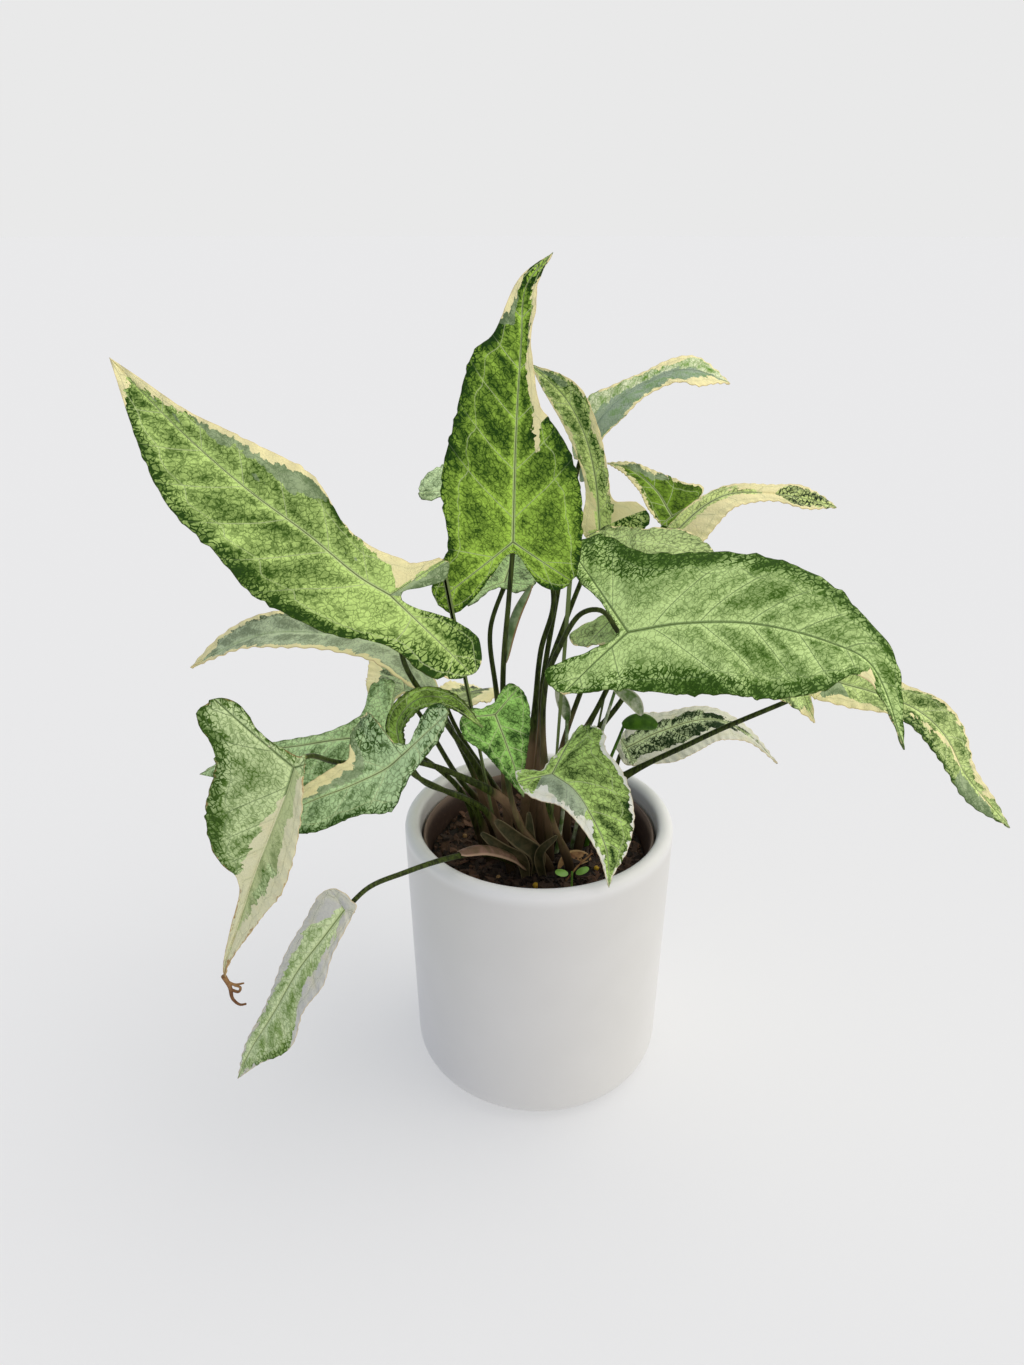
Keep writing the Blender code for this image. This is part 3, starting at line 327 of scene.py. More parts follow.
         left=[(7, -12), (14, -19), (19, -5), (20, 12), (17, 36), (8, 66)],
         right=[(5, -10), (9, -13), (12, -3), (13, 12), (12, 36), (6, 66)]),
    dict(name="back_pale", root=(-10, 16), via=[(-24, 24, 150), (-45, 31, 182)],
         rib=[(-51, 40, 195), (-44, 64, 187), (-37, 92, 176), (-32, 122, 160)],
         face=(0, -0.2, 1), fold=(8, 8), tip_fold=(25, 25), wave=1.5,
         left=[(5, -10), (9, -13), (12, -3), (14, 12), (13, 36), (6, 68)],
         right=[(7, -12), (15, -20), (20, -5), (21, 14), (18, 38), (8, 68)]),
]

# The tones are screen colours of the lit and the mottled green. A band is the half it is on, 0 left or
# 1 right, and a line of (s, from r, to r) or of (s, from r) where it runs out past the margin. s is -1 at
# the sinus, -0.5 at the lobe's end, 0 at the joint and 1 at the tip; r is 0 at the vein, 1 at the margin.
LOOKS = {
    "tall": dict(green=(192, 234, 92), mottle=(32, 72, 0), mottling=0.3, spacing=22.0,
        cream=[(1, [(0.24, 0.9, 0.2), (0.28, 0.5, 0.5), (0.32, 0.5, 0.62), (0.37, 0.55, 0.75),
                (0.41, 0.6), (0.47, 0.7), (0.52, 0.62), (0.58, 0.5), (0.62, 0.6), (0.66, 0.9),
                (0.76, 0.85), (0.8, 0.7), (0.86, 0.75), (0.92, 1)]),
            (0, [(0.7, 1.1), (0.75, 0.85), (0.8, 0.6), (0.86, 0.7), (0.92, 1)])],
        grey=[(0, [(0.68, 1.1), (0.72, 0.4), (0.8, 0.3), (0.85, 1)])],
        dark=[(0, [(0.84, 1), (0.88, -1)]),
            (1, [(0.84, 1), (0.88, -1)])]),
    "left_big": dict(green=(212, 242, 142), mottle=(50, 86, 2), mottling=0.1, spacing=22.0,
        cream=[(1, [(-0.55, 1.2), (-0.48, 0.02), (-0.05, 0.05), (0, 0.75), (0.08, 0.88), (0.2, 1),
                (0.28, 0.95), (0.36, 0.84), (0.7, 0.82), (0.8, 0.62), (0.9, 0.2), (0.94, -0.2)]),
            (0, [(0.8, 1.1), (0.88, 0.6), (0.94, -0.2)])],
        grey=[(1, [(-0.98, 0.05), (-0.55, 0.05), (-0.5, 1.1)]),
            (1, [(-0.45, 0.4, 0.3), (-0.36, 0.1, 0.4), (-0.1, 0.1, 0.35), (0, 0.4, 0.3)]),
            (1, [(0.22, 1.1), (0.28, 0.72), (0.36, 0.42), (0.42, 0.62), (0.5, 0.72), (0.6, 0.56),
                (0.7, 0.74), (0.76, 1.1)])],
        dark=[(1, [(-1, 0.6), (-0.75, 0.7), (-0.6, 0.6), (-0.52, 0.8), (-0.48, 1.2)]),
            (0, [(-1, 0.85), (-0.75, 0.5), (-0.6, 0.3), (-0.5, 0.15), (-0.3, 0.55), (0, 0.88),
                (0.8, 0.92)])]),
    "right_big": dict(green=(220, 248, 162), mottle=(72, 112, 18), vein=(112, 140, 84), spacing=22.0,
        cream=[(1, [(0.68, 1.2), (0.71, 0.75), (0.73, 0.3), (0.76, 0.6), (0.79, 1.2)])],
        dark=[(0, [(-0.6, 0.4), (-0.4, 0.25), (-0.15, 0.5), (0.1, 0.85), (1, 0.9)]),
            (1, [(-1, 0.6), (-0.3, 0.5), (0, 0.6), (0.3, 0.85), (1, 0.9)])]),
    "left_behind": dict(green=(212, 228, 186), mottle=(44, 66, 26), ash=(216, 232, 188), mottling=0.2,
        cream=[(0, [(-1, 0.9), (0.3, 0.85), (0.42, 0.75), (0.5, 0.9), (0.8, 0.85), (0.9, 0.5),
                (1, -0.2)]),
            (1, [(-1, 0.9), (0.5, 0.9), (0.8, 0.75), (0.9, 0.3), (1, -0.2)])],
        grey=[(0, [(-1, -1), (1, -1)]),
            (1, [(-1, -1, 0.7), (1, -1, 0.7)])]),
    "left_hanging": dict(green=(222, 242, 178), mottle=(78, 114, 28), mottling=0.05, vein=(120, 146, 92),
        pale=(236, 234, 194), ash=(208, 220, 160),
        grey=[(0, [(-0.05, 1, 0), (0.0, -1), (0.28, -1), (0.34, -1, 0.25), (0.5, -1, 0.25), (0.56, -1),
                (1, -1)])],
        cream=[(0, [(-1, 1.1), (-0.02, 0.9), (0.03, 0.5), (0.2, 0.45), (0.35, 0.65), (0.5, 0.5),
                (0.62, 0.35), (0.75, 0.1), (0.85, -0.2)]),
            (1, [(0.04, -1, -0.1), (0.15, -1, 0.12), (0.3, -1, 0.3), (0.4, -1, 0.5), (0.45, -1),
                (1, -1)])],
        dark=[(1, [(-1, 0.7), (-0.6, 0.35), (-0.4, 0.6), (0, 0.85), (0.3, 0.9), (0.45, 1.2)])],
        dry=[(0, [(0.8, 1), (0.9, 0.4), (0.95, -0.2)]),
            (1, [(0.86, 1), (0.93, 0.4), (0.96, -0.2)])]),
    "left_low": dict(green=(206, 236, 178), mottle=(66, 100, 36), mottling=0.1,
        cream=[(1, [(0.15, 1), (0.22, 0.75), (0.3, 0.6), (0.45, 0.5), (0.6, 0.35), (0.9, 0.3)])],
        grey=[(1, [(0.1, 0.9), (0.2, 0.5), (0.3, 0.2), (0.5, 0.15), (1, 0.1)])],
        dark=[(0, [(-1, 0.7), (-0.6, 0.3), (-0.3, 0.6), (0, 0.75), (0.3, 0.95)]),
            (1, [(-1, 0.3), (0, 0.3), (0.15, 0.6), (0.25, 1.1)])]),
    "left_low_behind": dict(green=(220, 252, 184), mottle=(66, 102, 28)),
    "low_left_pale": dict(green=(230, 246, 190), mottle=(114, 148, 62), pale=(212, 212, 204),
        cream=[(0, [(-1, -1), (-0.1, -1), (0, 0.3), (0.1, 0.5), (0.25, 0.45), (0.35, 0.6), (0.45, 0.8),
                (0.6, 1), (0.8, 1), (0.9, 0.6)]),
            (1, [(-1, -1), (-0.1, 0), (0.05, 0.35), (0.15, 0.8), (0.3, 0.6), (0.5, 0.75), (0.8, 0.8),
                (0.92, 0.5)])],
        dark=[(0, [(0.45, 1.1), (0.55, 0.85), (0.75, 0.8), (0.85, 0.9)])]),
    "young_arched": dict(green=(190, 230, 110), mottle=(16, 44, 0), mottling=0.35),
    "small_centre": dict(green=(176, 232, 120), mottle=(18, 60, 0), mottling=0.4),
    "small_front": dict(green=(216, 252, 140), mottle=(30, 64, 2), mottling=0.25, pale=(252, 252, 240),
        ash=(196, 210, 182),
        cream=[(1, [(-1, 0.92), (-0.25, 0.9), (-0.12, 0.5), (-0.03, 0.45), (0, 0.7), (0.1, 0.85),
                (0.33, 0.85), (0.38, 0.45), (0.48, 0.35), (0.55, 0.8), (0.65, 0.6), (0.8, 0.55),
                (0.9, 0.7)]),
            (0, [(-1, 0.97), (0.2, 0.97), (0.5, 0.94), (1, 0.9)])],
        grey=[(1, [(-0.2, 1.1), (-0.1, -1), (0.33, -1), (0.4, 1, 0.5)])]),
    "right_pale": dict(green=(210, 228, 176), mottle=(22, 44, 6), mottling=0.35, pale=(220, 220, 204),
        cream=[(0, [(-1, 0.3), (0.1, 0.4), (0.4, 0.7), (0.6, 0.3), (1, -0.2)]),
            (1, [(-1, 0.4), (0, 0.5), (0.3, 0.6), (0.6, 0.3), (1, -0.2)])],
        dark=[(0, [(0.15, 0.4, 0.3), (0.25, 0.15, 0.5), (0.45, 0.2, 0.6), (0.55, 0.4, 0.3)]),
            (1, [(-0.3, 0.1, 0.4), (0.4, 0.1, 0.45), (0.5, 0.4, 0.3)])]),
    "far_right": dict(green=(230, 252, 164), mottle=(52, 90, 8), mottling=0.1,
        cream=[(0, [(-1, 0.8), (0.1, 0.7), (0.25, 0.9), (0.6, 0.86), (0.7, 0.5), (0.8, 0.4), (0.85, 0.8),
                (1, 0.9)]),
            (1, [(-0.65, -1), (-0.4, -1), (-0.35, 0.5), (0, 0.55), (0.15, 0.8), (0.3, 1.2)]),
            (1, [(0.28, 0.5, 0.4), (0.32, 0.35, 0.55), (0.4, 0.3, 0.5), (0.5, 0.1, 0.25),
                (0.62, -0.1, 0.1), (0.66, 0.1, 0)])],
        grey=[(1, [(-0.4, -1), (0.02, -1), (0.05, 1, 0.5)]),
            (1, [(0.6, 1, 0.5), (0.65, 0.2), (0.85, 0.2), (0.9, 1, 0.5)])],
        dark=[(1, [(0.25, 1, 0.5), (0.3, 0.55), (0.42, 0.7), (0.48, 1, 0.8)])]),
    "behind_tall": dict(green=(232, 254, 156), mottle=(40, 88, 0), mottling=0.1,
        cream=[(0, [(-1, 0.5), (0, 0.2), (0.12, 0.15), (0.2, 0.5), (0.3, 0.8), (0.9, 0.88), (1, 0.5)]),
            (1, [(-0.1, 1.1), (0, 0.3), (0.05, 0.4), (0.1, 0.9), (0.35, 0.95), (0.42, 0.75), (0.5, 0.6),
                (0.58, 0.88), (0.9, 0.9)])],
        grey=[(1, [(0.7, 1, 0.2), (0.78, 0.3, 0.8), (0.95, 0.2, 0.9)])],
        dark=[(1, [(-0.6, -1), (-0.1, -1), (-0.02, 0.6, 0.5)])]),
    "upper_right": dict(green=(244, 252, 210), mottle=(104, 152, 40), ash=(156, 176, 154),
        cream=[(1, [(0.1, 0.94), (0.5, 0.9), (0.58, 0.5), (0.64, 0.7), (0.75, 0.5), (0.85, 0.3), (1, 0)]),
            (0, [(0, 0.96), (0.5, 0.92), (0.56, 0.5), (0.66, 0.55), (0.72, 0.95), (0.9, 0.85),
                (1, 0.3)])],
        grey=[(1, [(-1, -1), (1, -1)]),
            (0, [(-1, -1, 0.2), (0.6, -1, 0.25), (0.8, -1, 0.1)])]),
    "right_middle": dict(green=(140, 178, 56), mottle=(24, 54, 2), mottling=0.2,
        cream=[(1, [(-1, 0.9), (0.3, 0.95), (0.6, 0.8), (0.9, 0.3)]),
            (0, [(-1, 0.9), (0.5, 0.85), (0.9, 0.3)])],
        grey=[(1, [(0.2, 1.1), (0.35, 0.6), (0.5, 0.3), (0.8, 0.1)])]),
    "right_cream": dict(green=(234, 252, 160), mottle=(10, 38, 0),
        cream=[(0, [(-1, 0.9), (0.1, 0.8), (0.25, 0.88), (0.4, 0.45), (0.5, 0.1), (0.6, -0.2),
                (0.64, 0.8), (0.9, 0.85), (1, 0.3)]),
            (1, [(-0.2, 0), (0.1, 0.2), (0.3, 0.25), (0.5, 0.1), (0.6, -0.2), (0.64, 0.7), (0.9, 0.9)])],
        dark=[(0, [(0.6, -1, -0.1), (0.64, -1, 0.9), (0.9, -1, 0.9)]),
            (1, [(0.6, -1, -0.1), (0.64, -1, 0.9), (0.9, -1, 0.9)])]),
    "right_shaded": dict(green=(228, 252, 166), mottle=(30, 60, 4), mottling=-0.2,
        cream=[(0, [(0.85, 1), (0.93, 0.3), (1, -0.2)]),
            (1, [(0.85, 1), (0.93, 0.3), (1, -0.2)])]),
    "centre_back": dict(green=(212, 244, 172), mottle=(8, 22, 2), mottling=0.2),
    "back_tall": dict(green=(226, 252, 190), mottle=(50, 82, 18), mottling=0.2),
    "back_left": dict(green=(202, 224, 164), mottle=(18, 46, 0), mottling=0.3,
        cream=[(0, [(-1, 0.6), (1, 0.7)])]),
    "back_pale": dict(green=(216, 240, 144), mottle=(10, 30, 2), mottling=0.5,
        cream=[(0, [(-1, 0.4), (1, 0.5)]),
            (1, [(-1, 0.6), (1, 0.6)])]),
}
USUAL_LOOKS = dict(vein=(208, 224, 164), pale=(255, 245, 186), ash=(166, 184, 144), mottling=0.0,
                   spacing=VEIN_SPACING)


def unit(vectors):
    """Vectors divided by their own length."""
    vectors = np.asarray(vectors, float)
    return vectors / np.linalg.norm(vectors, axis=-1, keepdims=True)


def smooth_curve(points, count):
    """Catmull-Rom curve through the points, sampled evenly along its length; returns samples and length."""
    points = np.asarray(points, float)
    ends = np.concatenate([[2 * points[0] - points[1]], points, [2 * points[-1] - points[-2]]])
    steps = np.linalg.norm(np.diff(ends, axis=0), axis=1) ** 0.5
    knots = np.concatenate([[0.0], np.cumsum(steps)])
    t = np.linspace(knots[1], knots[-2], CURVE_STEPS * (len(points) - 1) + 1)
    i = np.clip(np.searchsorted(knots, t, side="right") - 1, 1, len(points) - 1)

    def blend(a, b, ta, tb):
        return ((tb - t) / (tb - ta))[:, None] * a + ((t - ta) / (tb - ta))[:, None] * b

    t0, t1, t2, t3 = knots[i - 1], knots[i], knots[i + 1], knots[i + 2]
    a1 = blend(ends[i - 1], ends[i], t0, t1)
    a2 = blend(ends[i], ends[i + 1], t1, t2)
    a3 = blend(ends[i + 1], ends[i + 2], t2, t3)
    dense = blend(blend(a1, a2, t0, t2), blend(a2, a3, t1, t3), t1, t2)
    along = np.concatenate([[0.0], np.cumsum(np.linalg.norm(np.diff(dense, axis=0), axis=1))])
    wanted = np.linspace(0.0, along[-1], count)
    samples = [np.interp(wanted, along, dense[:, k]) for k in range(dense.shape[1])]
    return np.stack(samples, -1), along[-1]


def carried_frame(points, normal):
    """Directions along a curve, with a normal carried from point to point without turning round it."""
    along = unit(np.gradient(points, axis=0))
    normals = np.zeros_like(along)
    for i, heading in enumerate(along):
        normal = unit(normal - heading * np.dot(normal, heading))
        normals[i] = normal
    return along, normals


def blade_half(leaf, side, length):
    """Flat grid of one half with its data: rows run from a vein to the margin.

    The first rows leave both sides of the lobe's own vein, which is straight from the joint to the
    middle of the lobe's margin, and the others leave the midrib at even steps. A row is the curve
    start (1 - r) squared + 2 middle r (1 - r) + edge r squared, with r from 0 to 1.
    """
    looks = {**USUAL_LOOKS, **LOOKS[leaf["name"]]}
    outline = np.array([(0.0, -SINUS_DEPTH), (SINUS_HALF_WIDTH, -SINUS_DEPTH - SINUS_FALL)]
                       + leaf[("left", "right")[side]] + [(0.0, length)], float)
    margin, _ = smooth_curve(outline, MARGIN_SAMPLES)
    index = np.arange(MARGIN_SAMPLES)
    reach = margin[:, 1] - RAY_SLANT * margin[:, 0]
    turn = int(np.nonzero(reach <= 0.0)[0][-1])
    corner = int(np.nonzero(margin[:, 0] >= SINUS_HALF_WIDTH)[0][0])
    tip = (corner + turn) // 2
    lobe_length = float(np.hypot(*margin[tip]))
    lobe_veins = max(1, round(lobe_length / looks["spacing"]))
    veins = max(4, round(length / looks["spacing"]))
    rows = veins * ROWS_PER_VEIN
    climb = np.linspace(0.0, 1.0, lobe_veins * ROWS_PER_VEIN + 1)
    feet = length * np.linspace(0.0, 1.0, rows + 1)[1:]
    beyond = np.maximum.accumulate(reach[turn:]) + 1e-6 * index[:MARGIN_SAMPLES - turn]
    inner = corner + (tip - corner) * climb
    outer = (turn + (tip - turn) * climb)[-2::-1]
    past_lobe = turn + np.interp(feet, beyond, index[:MARGIN_SAMPLES - turn])
    picked = np.concatenate([[0], inner, outer, past_lobe])
    edge = np.stack([np.interp(picked, index, margin[:, k]) for k in (0, 1)], -1)

    # Fine curls of the margin, strong and weak by turns, and none where the blade is narrow
    quick, quicker, slow = CRINKLE_RATES
    crinkle = np.sin(quick * picked + 2.0 * side) + 0.6 * np.sin(quicker * picked + length)
    crinkle = crinkle * (0.2 + np.sin(slow * picked + length) ** 2)
    wide_enough = np.clip(edge[:, 0] / FULL_CRINKLE_WIDTH - FLAT_BELOW_WIDTH, 0.0, 1.0)
    edge[:, 0] += CRINKLE * crinkle * wide_enough
    edge[-1] = (0.0, length)

    vein = climb[:, None] * margin[tip]
    midrib = np.stack([np.zeros_like(feet), feet], -1)
    start = np.concatenate([vein[:1], vein, vein[-2::-1], midrib])
    middle = (start + edge) / 2
    middle[-rows:, 1] -= RAY_SAG * edge[-rows:, 0] * np.clip(6 * feet / length, 0.0, 1.0)
    r = np.linspace(0.0, 1.0, COLUMNS + 1) ** COLUMN_POWER
    r = np.concatenate([r[:-1], [LAST_COLUMN, 1.0]])
    k = r[None, :, None]
    flat = start[:, None] * (1 - k) ** 2 + 2 * middle[:, None] * k * (1 - k) + edge[:, None] * k ** 2

    # Side vein number of each row, place s along the leaf, and row lengths. The side veins lean towards
    # the tip more than the rows do.
    number = 0.5 + np.concatenate([[0.0], climb * lobe_veins, climb[-2::-1] * lobe_veins,
                                   veins * feet / length])
    s = np.concatenate([[-1.0], -1.0 + 0.5 * climb, -0.5 * climb[-2::-1], feet / length])
    row_length = np.linalg.norm(edge - start, axis=1)[:, None]
    gap = np.linalg.norm(np.gradient(flat, axis=0), axis=-1)
    gap = gap / np.clip(np.abs(np.gradient(number)), 0.5 / ROWS_PER_VEIN, None)[:, None]
    number = np.maximum(number[:, None] - SIDE_SLANT * r * row_length / looks["spacing"], 0.5)

    # Distance from the midrib and from the lobe's vein, in half widths of each
    x, y = flat[..., 0], flat[..., 1]
    to_midrib = np.hypot(x, np.clip(-y, 0.0, None))
    midrib_width = np.interp(np.clip(y, 0.0, length), (0.0, length), MIDRIB_WIDTHS)
    heading = margin[tip] / lobe_length
    on_vein = np.clip(x * heading[0] + y * heading[1], 0.0, lobe_length)
    to_vein = np.hypot(x - on_vein * heading[0], y - on_vein * heading[1])
    vein_width = np.interp(on_vein, (0.0, lobe_length), LOBE_VEIN_WIDTHS)
    rib = np.minimum(to_midrib / midrib_width, to_vein / vein_width)

    def band(kind):
        """Signed distance in mm inside the leaf's bands of a kind."""
        inside = np.full(rib.shape, -BAND_LIMIT)
        for on_side, line in looks.get(kind, ()):
            if on_side == side:
                stops, near, far = np.array([(*stop, PAST_MARGIN)[:3] for stop in line], float).T
                from_near = r - np.interp(s, stops, near)[:, None]
                to_far = np.interp(s, stops, far)[:, None] - r
                depth = np.minimum(from_near, to_far) * np.maximum(row_length, LEAST_ROW)
                inside = np.maximum(inside, depth)
        return np.minimum(inside, BAND_LIMIT)

    # The vein inside the margin is scalloped: it swings out between the side veins
    to_inner_vein = (r - INNER_VEIN + SCALLOP * np.cos(math.tau * number)) * row_length
    across = np.broadcast_to(r, rib.shape)
    data = {
        "veins": np.stack([rib, number, gap], -1),
        "place": np.stack([across, (1 - r) * row_length, to_inner_vein], -1),
        "bands": np.stack([band("cream"), band("grey"), band("dark")], -1),
        "dry": np.stack([band("dry")] * 3, -1),
    }
    relief = np.sin(math.pi * (number % 1.0)) ** 2 * np.sin(math.pi * r) ** 0.7
    relief = relief * QUILT * np.clip(gap / VEIN_SPACING, 0.0, 1.0) - RIB_SINK * np.exp(-(rib / 2.0) ** 2)
    relief = relief + CRINKLE_LIFT * np.sin(CRINKLE_LIFT_RATE * picked + side)[:, None] * r ** 4
    thick = HALF_THICKNESS[0] + (HALF_THICKNESS[1] - HALF_THICKNESS[0]) * across ** 2
    keel = RIB_KEEL * np.exp(-(rib / KEEL_WIDTH) ** 2) * (1.0 - 0.6 * np.clip(y / length, 0.0, 1.0))
    return flat, data, np.stack([relief, thick, keel], -1), outline


def blade_point(leaf, side, flat, rib, length, width, lobe):
    """Place of flat points in space: carried along the rib, folded at it, curled and waved outwards."""
    bearing = np.arctan2(flat[..., 0], -flat[..., 1])
    swing = math.radians(leaf.get("swing", 0)) * np.clip((math.pi / 2 - bearing) / SWING_FADE, 0.0, 1.0)
    bearing = bearing + swing * (-1 if side == 0 else 1)
    x = np.hypot(flat[..., 0], flat[..., 1]) * np.sin(bearing)
    y = -np.hypot(flat[..., 0], flat[..., 1]) * np.cos(bearing)
    at = np.clip(y, 0.0, length)
    stations = np.linspace(0.0, length, len(rib[0]))

    def along_rib(values):
        return np.stack([np.interp(at, stations, values[:, k]) for k in range(3)], -1)

    place = along_rib(rib[0])
    forward = unit(along_rib(rib[1]))
    up = unit(along_rib(rib[2]))
    across = np.cross(forward, up)
    behind = np.clip(-y, 0.0, None)
    droop = np.radians(leaf.get("lobe_drop", USUAL_LOBE_DROP)[side]) * behind / lobe
    place = place - forward * (behind * np.sinc(droop / math.pi))[..., None]
    place = place - up * (behind * np.sin(droop / 2) * np.sinc(droop / math.tau))[..., None]
    lobe_up = up * np.cos(droop)[..., None] - forward * np.sin(droop)[..., None]
    fold = np.radians(leaf["fold"][side] + (leaf["tip_fold"][side] - leaf["fold"][side]) * at / length)
    bend = math.radians(leaf.get("curl", USUAL_CURL)[side]) / (CURL_REACH * length)
    angle = fold + bend * x / 2
    arch = np.sinc(bend * x / math.tau)
    sideways = x * np.cos(angle) * arch * (-1 if side == 0 else 1)
    phase = math.tau * WAVES * y / length + SECOND_HALF_PHASE * side
    wave = leaf["wave"] * np.sin(phase) * (x / width) ** 2
    lift = x * np.sin(angle) * arch + wave
    return place + across * sideways[..., None] + lobe_up * lift[..., None]


def cell_corners(grid):
    """The corners of each cell of a grid, in order round the cell."""
    return grid[:-1, :-1], grid[1:, :-1], grid[1:, 1:], grid[:-1, 1:]


def split_grid(flat, index):
    """Two triangles for each cell of a flat grid, cut so that the smaller one is as large as it can be."""
    a, b, c, d = [corner.reshape(-1, 2) for corner in cell_corners(flat)]
    i, j, k, m = [corner.ravel() for corner in cell_corners(index)]

    def area(p, q, r):
        return (r[:, 0] - p[:, 0]) * (q[:, 1] - p[:, 1]) - (q[:, 0] - p[:, 0]) * (r[:, 1] - p[:, 1])

    straight = (np.minimum(area(a, b, c), area(a, c, d)) >= np.minimum(area(a, b, d), area(b, c, d)))[:, None]
    first = np.where(straight, np.stack([i, j, k], 1), np.stack([i, j, m], 1))
    second = np.where(straight, np.stack([i, k, m], 1), np.stack([j, k, m], 1))
    return np.concatenate([first, second])


def add_piece(name, points, faces, material, corner_data=None):
    """A smooth mesh on the root body, from points in millimetres and faces, an array or a list.

    corner_data holds a vector for each face corner under each of its names.
    """
    mesh = bpy.data.meshes.new(name)
    if isinstance(faces, np.ndarray):
        count, sides = faces.shape
        mesh.vertices.add(len(points))
        mesh.vertices.foreach_set("co", (np.asarray(points) * MM).astype(np.float32).ravel())
        mesh.loops.add(count * sides)
        mesh.loops.foreach_set("vertex_index", faces.astype(np.int32).ravel())
        mesh.polygons.add(count)
        mesh.polygons.foreach_set("loop_start", np.arange(0, count * sides, sides, dtype=np.int32))
        mesh.update(calc_edges=True)
    else:
        mesh.from_pydata((np.asarray(points, float) * MM).tolist(), [], faces)
    for key, values in (corner_data or {}).items():
        layer = mesh.attributes.new(key, "FLOAT_VECTOR", "CORNER")
        layer.data.foreach_set("vector", np.asarray(values, np.float32).ravel())
    mesh.materials.append(material)
    mesh.shade_smooth()
    mesh.validate()
    piece = bpy.data.objects.new(name, mesh)
    bpy.context.scene.collection.objects.link(piece)
    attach(piece, "root")
    return piece


def make_blade(leaf, material):
    """Both halves welded along the midrib, given thickness, side veins in relief and a keel below."""
    curve, length = smooth_curve(leaf["rib"], RIB_SAMPLES)
    along, normals = carried_frame(curve, np.array(leaf["face"], float))
    points, flats, triangles, reliefs, data = [], [], [], [], []
    start = 0
    for side in (0, 1):
        flat, layers, relief, outline = blade_half(leaf, side, length)
        width = outline[:, 0].max()
        lobe = -outline[:, 1].min()
        solid = blade_point(leaf, side, flat, (curve, along, normals), length, width, lobe)
        index = start + np.arange(flat[..., 0].size).reshape(flat.shape[:2])
        sheet = split_grid(flat, index)
        triangles.append(sheet[:, ::-1] if side == 1 else sheet)
        points.append(solid.reshape(-1, 3))
        flats.append((flat * (2 * side - 1, 1)).reshape(-1, 2))
        reliefs.append(relief.reshape(-1, 3))
        data.append({key: values.reshape(-1, 3) for key, values in layers.items()})
        start += index.size
    points, flats, triangles, reliefs = [np.concatenate(p) for p in (points, flats, triangles, reliefs)]
    data = {key: np.concatenate([half[key] for half in data]) for key in data[0]}

    # Points that lie together in the flat blade become one, and the triangles that this closes up go
    keys = np.round(flats * WELD_STEPS).astype(int)
    _, first, same = np.unique(keys, axis=0, return_index=True, return_inverse=True)
    welded = same.reshape(-1)[triangles]
    whole = np.all(welded != np.roll(welded, 1, axis=1), axis=1)
    triangles = triangles[whole]
    welded = welded[whole]
    points = points[first]

    # The upper and the under side, half a thickness off the middle along its own normals
    relief, thick, keel = reliefs[first].T
    a, b, c = (points[welded[:, corner]] for corner in range(3))
    face_normals = np.cross(b - a, c - a)
    vertex_normals = np.zeros_like(points)
    for corner in range(3):
        np.add.at(vertex_normals, welded[:, corner], face_normals)
    vertex_normals = unit(vertex_normals)
    top = points + vertex_normals * (relief + thick)[:, None]
    under = points + vertex_normals * (relief - thick - keel)[:, None]

    # A wall of two triangles stands on each edge that only one triangle has
    count = len(points)
    edges = np.concatenate([welded[:, [0, 1]], welded[:, [1, 2]], welded[:, [2, 0]]])
    sources = np.concatenate([triangles[:, [0, 1]], triangles[:, [1, 2]], triangles[:, [2, 0]]])
    _, found, times = np.unique(np.sort(edges, 1), axis=0, return_index=True, return_counts=True)
    near, far = edges[found[times == 1]].T
    near_source, far_source = sources[found[times == 1]].T
    walls = np.concatenate([np.stack([far, near, near + count], 1),
                            np.stack([far, near + count, far + count], 1)])
    wall_sources = np.concatenate([np.stack([far_source, near_source, near_source], 1),
                                   np.stack([far_source, near_source, far_source], 1)])
    faces = np.concatenate([welded, welded[:, ::-1] + count, walls])
    corner_source = np.concatenate([triangles, triangles[:, ::-1], wall_sources]).ravel()
    is_under = np.zeros((len(faces), 3))
    is_under[len(welded):2 * len(welded)] = 1.0
    corner_data = {key: values[corner_source] for key, values in data.items()}
    corner_data["flat"] = np.column_stack([flats[corner_source] / 10.0, is_under.ravel()])
    blade = add_piece("leaf_" + leaf["name"], np.concatenate([top, under]), faces, material, corner_data)
    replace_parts(blade, "blade_" + leaf["name"])


def tone(red, green, blue):
    """A linear colour from the 0 to 255 values that a screen shows."""
    shown = np.array([red, green, blue]) / 255.0
    linear = np.where(shown <= 0.04045, shown / 12.92, ((shown + 0.055) / 1.055) ** 2.4)
    return (*linear.tolist(), 1.0)


def calc(operation, *values):
    """The result of a Math node on constants or outputs."""
    return add_node("Math", dict(enumerate(values)), operation=operation).outputs[0]


def total(first, *others):
    """The sum of pairs of a value and its weight."""
    result = calc("MULTIPLY", *first)
    for value, weight in others:
        result = calc("MULTIPLY_ADD", value, weight, result)
    return result


def distance(x, y):
    """Square root of x squared plus y squared."""
    return calc("SQRT", total((x, x), (y, y)))


def fall(value, low, high, start=1.0):
    """A smooth step from start, up to where value is low, down to nothing from where it is high."""
    return rise(value, low, high, start, 0.0)


def vector(x, y, z):
    """A vector of three constants or outputs."""
    return add_node("CombineXYZ", {0: x, 1: y, 2: z}).outputs[0]


def noise(place, scale, detail=2.0, roughness=0.5):
    """Cloudy values round 0.5 at a place."""
    sources = {"Vector": place, "Scale": scale, "Detail": detail, "Roughness": roughness}
    return add_node("TexNoise", sources).outputs[0]


def wander(place, reach, scale, detail=2.0, roughness=0.5):
    """Cloudy values round 0, of which the widest are a reach apart."""
    return calc("MULTIPLY", calc("SUBTRACT", noise(place, scale, detail, roughness), 0.5), reach)


def attribute(tree, name):
    """The three values of a piece's own data layer, as separate outputs."""
    source = tree.nodes.new("ShaderNodeAttribute")
    source.attribute_name = name
    return apart(source.outputs["Vector"])


